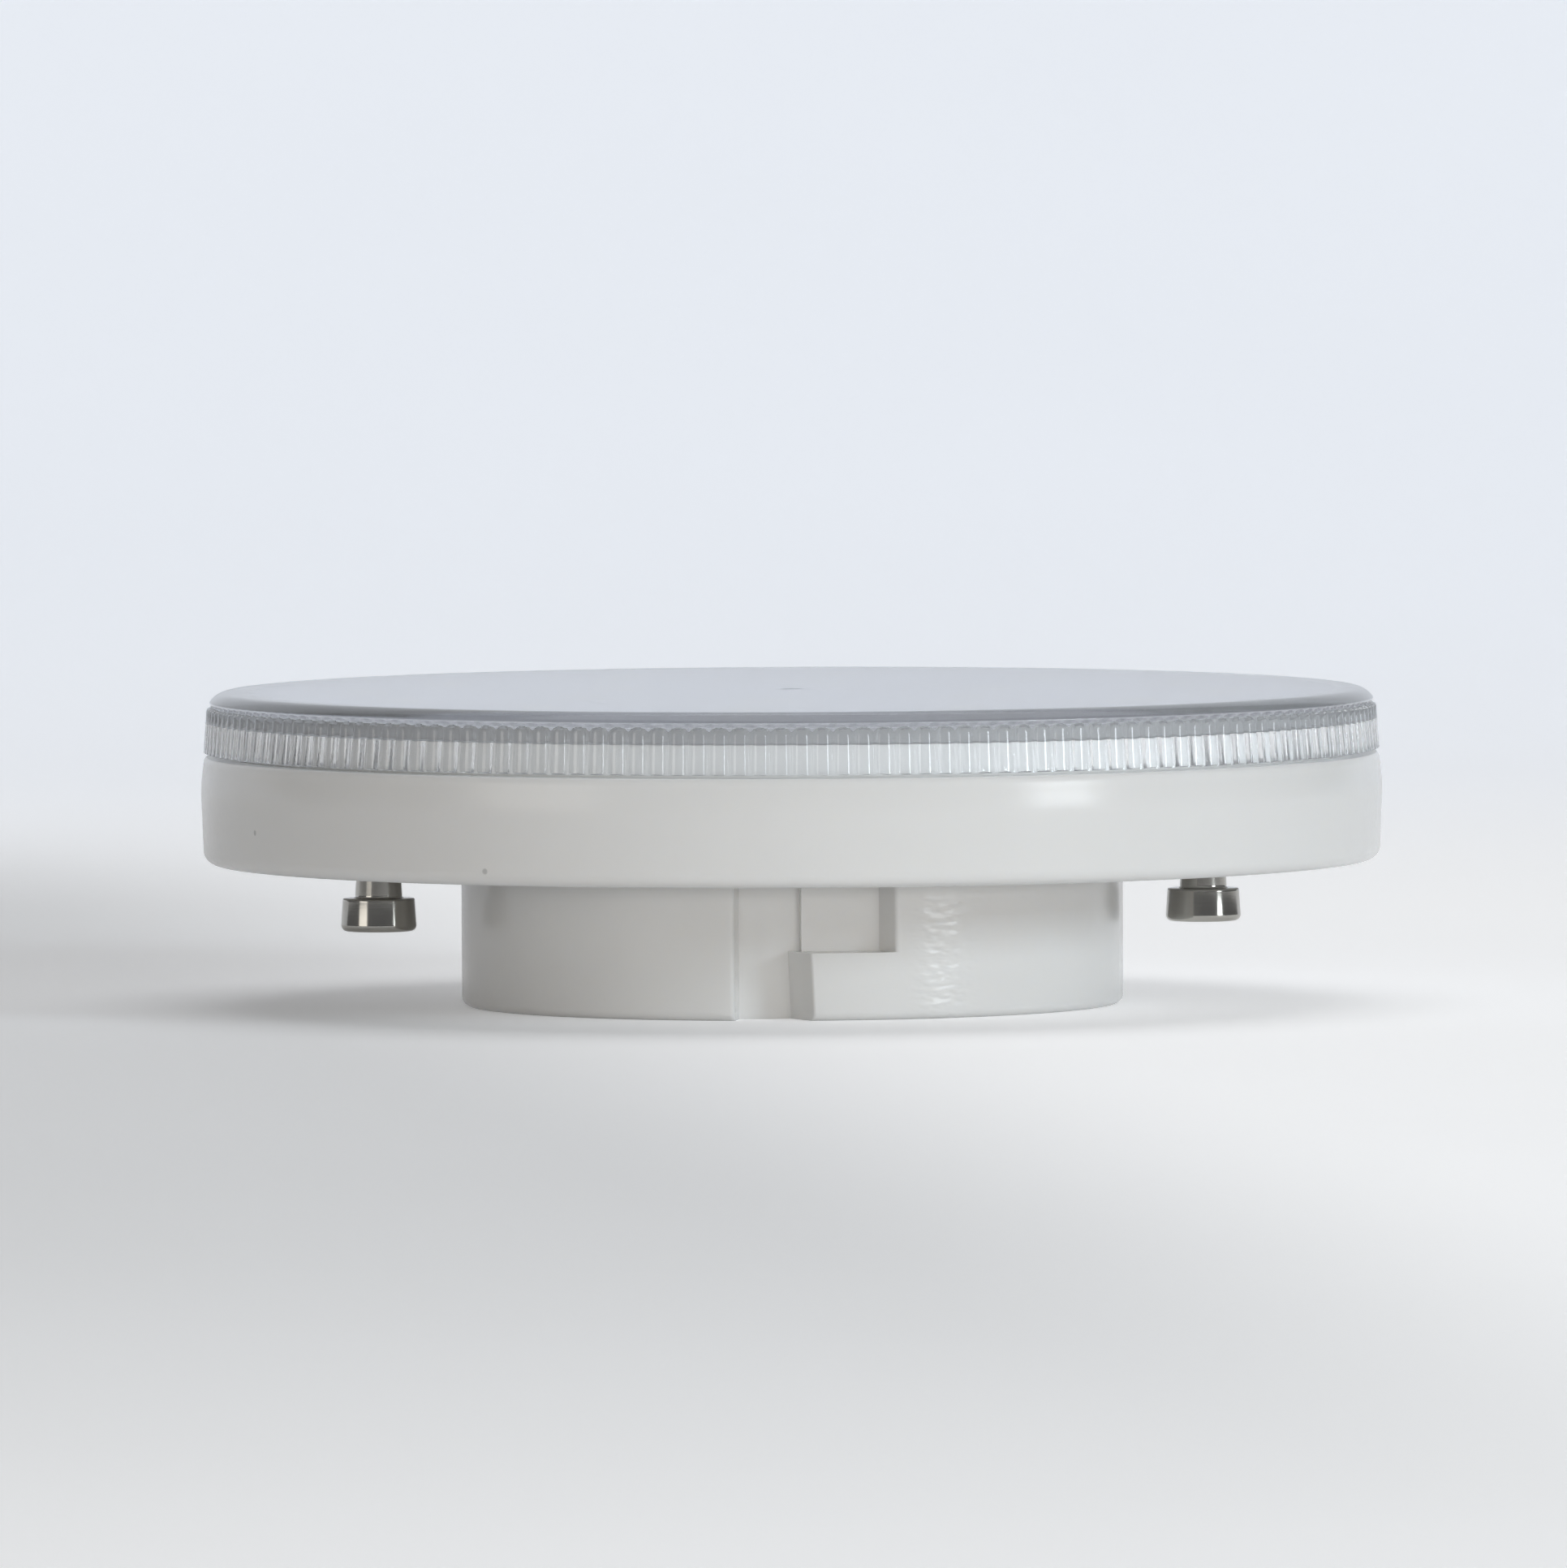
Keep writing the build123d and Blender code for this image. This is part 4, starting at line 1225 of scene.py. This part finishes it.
def build_camera(settings):
    """Camera at the photograph's viewing angle."""
    s = settings
    data = bpy.data.cameras.new("camera")
    data.sensor_fit = "HORIZONTAL"
    data.sensor_width = 36.0
    data.lens = data.sensor_width * s.scale * s.distance / MM / PICTURE_WIDTH
    data.clip_start = 0.05
    data.clip_end = 20.0
    camera = bpy.data.objects.new("camera", data)
    bpy.context.scene.collection.objects.link(camera)
    back = Vector((sin(s.around), -cos(s.around), 0.0))
    right = Vector((cos(s.around), sin(s.around), 0.0))
    camera.location = back * s.distance + Vector((0.0, 0.0, s.height))
    forward = (-back - right * tan(s.pan)).normalized() * cos(s.pitch) + Vector((0.0, 0.0, -sin(s.pitch)))
    camera.rotation_mode = "QUATERNION"
    camera.rotation_quaternion = forward.to_track_quat("-Z", "Y") @ Quaternion((0.0, 0.0, 1.0), s.roll)
    bpy.context.scene.camera = camera


def build_world(settings):
    """Light from all round, dimmer on the camera's side; the back looks white in gloss and through glass."""
    world = bpy.data.worlds.new("studio")
    bpy.context.scene.world = world
    world.use_nodes = True
    tree = world.node_tree
    tree.nodes.clear()
    paths, seen = seen_rays(tree)
    towards = split(tree, box_place(tree))
    behind = ease(tree, towards[1], low=0.5, high=0.95)
    shown = ease(tree, behind, 0.0, 1.0, start=settings.room, end=WHITE_LEVEL)
    front_share, back_share = 0.8, 2.4
    plain = ease(tree, towards[1], -0.2, 0.6, settings.fill * front_share, settings.fill * back_share)
    strength = add(tree, "ShaderNodeMix", Factor=seen)
    feed(tree, strength.inputs[2], plain)
    feed(tree, strength.inputs[3], shown)
    camera_white = add(tree, "ShaderNodeMix", Factor=paths["Is Camera Ray"])
    feed(tree, camera_white.inputs[2], strength.outputs[0])
    camera_white.inputs[3].default_value = WHITE_LEVEL
    warm, cool = (1.0, 0.975, 0.935, 1.0), (0.94, 0.96, 1.0, 1.0)
    tint = blend(tree, seen, warm, cool)
    sky = add(tree, "ShaderNodeBackground", Color=tint, Strength=camera_white.outputs[0])
    out = tree.nodes.new("ShaderNodeOutputWorld")
    tree.links.new(sky.outputs[0], out.inputs["Surface"])


# Operators

class DISCLAMP_OT_stage(bpy.types.Operator):
    """Make the camera, the lamps, the world and the paper sweep"""

    bl_idname = "disc_lamp.stage"
    bl_label = "Stage"

    def execute(self, context):
        s = context.scene.disc_lamp_stage
        context.scene.view_settings.view_transform = "Standard"
        build_camera(s)
        build_world(s)
        build_sweep(s)
        key = soft_lamp(
            "key_lamp", (0.60, -0.62, 0.222), size=(0.27, 0.15), watts=s.key_power, tint=(0.83, 0.925, 1.0)
        )
        key.visible_glossy = False
        soft_lamp(
            "left_lamp", (-0.78, -0.47, 0.12), size=(0.42, 0.2), watts=s.left_power, tint=(1.0, 0.965, 0.91)
        )
        glint = soft_lamp(
            "glint_lamp", (0.61, -0.63, 0.105), size=(0.2, 0.14), watts=s.glint_power, tint=(0.9, 0.96, 1.0)
        )
        glint.visible_diffuse = False
        front = soft_lamp(
            "front_lamp", (0.12, -1.1, 0.06), size=(0.9, 0.1), watts=s.front_power, tint=(1.0, 0.982, 0.955)
        )
        front.visible_glossy = False
        front.visible_transmission = False
        soft_lamp("top_lamp", (0.1, 0.1, 1.0), size=(1.0, 1.0), watts=s.top_power, tint=(0.97, 0.985, 1.0))
        return {"FINISHED"}


class DISCLAMP_OT_cover(bpy.types.Operator):
    """Build the clear cover with its ribbed skirt and frosted face"""

    bl_idname = "disc_lamp.cover"
    bl_label = "Cover"

    def execute(self, context):
        build_cover(context.scene.disc_lamp_cover)
        return {"FINISHED"}


class DISCLAMP_OT_housing(bpy.types.Operator):
    """Build the white housing with its boss and keyways"""

    bl_idname = "disc_lamp.housing"
    bl_label = "Housing"

    def execute(self, context):
        build_housing(context.scene.disc_lamp_housing)
        return {"FINISHED"}


class DISCLAMP_OT_pins(bpy.types.Operator):
    """Build the two contact pins"""

    bl_idname = "disc_lamp.pins"
    bl_label = "Contact pins"

    def execute(self, context):
        settings = context.scene.disc_lamp_pins
        finish = pin_finish(settings)
        build_pin(settings, -1, "turned_pin_left", "contact_pin_left", finish)
        build_pin(settings, 1, "turned_pin_right", "contact_pin_right", finish)
        return {"FINISHED"}


class DISCLAMP_OT_inner(bpy.types.Operator):
    """Finish the dish, the light board, the lights and the driver inside"""

    bl_idname = "disc_lamp.inner"
    bl_label = "Inner pieces"

    def execute(self, context):
        s = context.scene.disc_lamp_inner
        finishes = {
            "bare_aluminium": dish_finish(s),
            "white_board": track_finish("white_board", s.board_white, 0.4, 160.0),
            "led_package": light_finish(s),
            "amber_film": plastic_finish("amber_film", s.amber, 0.22, clouds=0.1)[0],
            "green_board": track_finish("green_board", s.board_green, 0.35, 330.0),
            "ferrite": plastic_finish("ferrite", (0.055, 0.055, 0.06, 1.0), 0.6, clouds=0.3)[0],
            "copper_winding": winding_finish(s),
            "black_sleeve": lead_finish("black_sleeve", (0.02, 0.022, 0.03, 1.0), 0.3, 0, 0.80),
            "red_capacitor": plastic_finish("red_capacitor", (0.42, 0.04, 0.02, 1.0), 0.25, clouds=0.12)[0],
            "black_moulding": lead_finish("black_moulding", (0.025, 0.025, 0.027, 1.0), 0.5, 1, 0.64),
            "tinned_pin": metal_finish("tinned_pin", (0.78, 0.77, 0.74, 1.0), 0.25)[0],
            "white_ceramic": lead_finish("white_ceramic", (0.74, 0.73, 0.70, 1.0), 0.45, 0, 0.55),
            "wire_insulation": plastic_finish("wire_insulation", (0.62, 0.60, 0.55, 1.0), 0.4, clouds=0.08)[0],
        }
        for node in frame["nodes"].values():
            slot = node.material_slots[0].material.name
            if slot in finishes:
                node.material_slots[0].material = finishes[slot]
        return {"FINISHED"}


class DISCLAMP_PT_panel(bpy.types.Panel):
    """Sidebar panel with the lamp's pieces and the stage"""

    bl_idname = "DISCLAMP_PT_panel"
    bl_label = "LED disc lamp"
    bl_space_type = "VIEW_3D"
    bl_region_type = "UI"
    bl_category = "Disc lamp"

    def draw(self, context):
        for operator in OPERATORS:
            self.layout.operator(operator.bl_idname)
        for name in SETTINGS:
            column = self.layout.box().column()
            settings = getattr(context.scene, name)
            for key in settings.__annotations__:
                column.prop(settings, key)


OPERATORS = (
    DISCLAMP_OT_stage,
    DISCLAMP_OT_cover,
    DISCLAMP_OT_housing,
    DISCLAMP_OT_pins,
    DISCLAMP_OT_inner,
)
SETTINGS = {
    "disc_lamp_stage": StageSettings,
    "disc_lamp_cover": CoverSettings,
    "disc_lamp_housing": HousingSettings,
    "disc_lamp_pins": PinSettings,
    "disc_lamp_inner": InnerSettings,
}


def register():
    """Registers the settings, the operators and the panel."""
    for name, group in SETTINGS.items():
        bpy.utils.register_class(group)
        setattr(bpy.types.Scene, name, PointerProperty(type=group))
    for operator in OPERATORS:
        bpy.utils.register_class(operator)
    bpy.utils.register_class(DISCLAMP_PT_panel)


def unregister():
    """Takes the settings, the operators and the panel away again."""
    bpy.utils.unregister_class(DISCLAMP_PT_panel)
    for operator in reversed(OPERATORS):
        bpy.utils.unregister_class(operator)
    for name, group in SETTINGS.items():
        delattr(bpy.types.Scene, name)
        bpy.utils.unregister_class(group)


def main():
    """Builds the whole lamp and its stage."""
    register()
    bpy.ops.disc_lamp.stage()
    bpy.ops.disc_lamp.cover()
    bpy.ops.disc_lamp.housing()
    bpy.ops.disc_lamp.pins()
    bpy.ops.disc_lamp.inner()


if __name__ == "__main__":
    main()
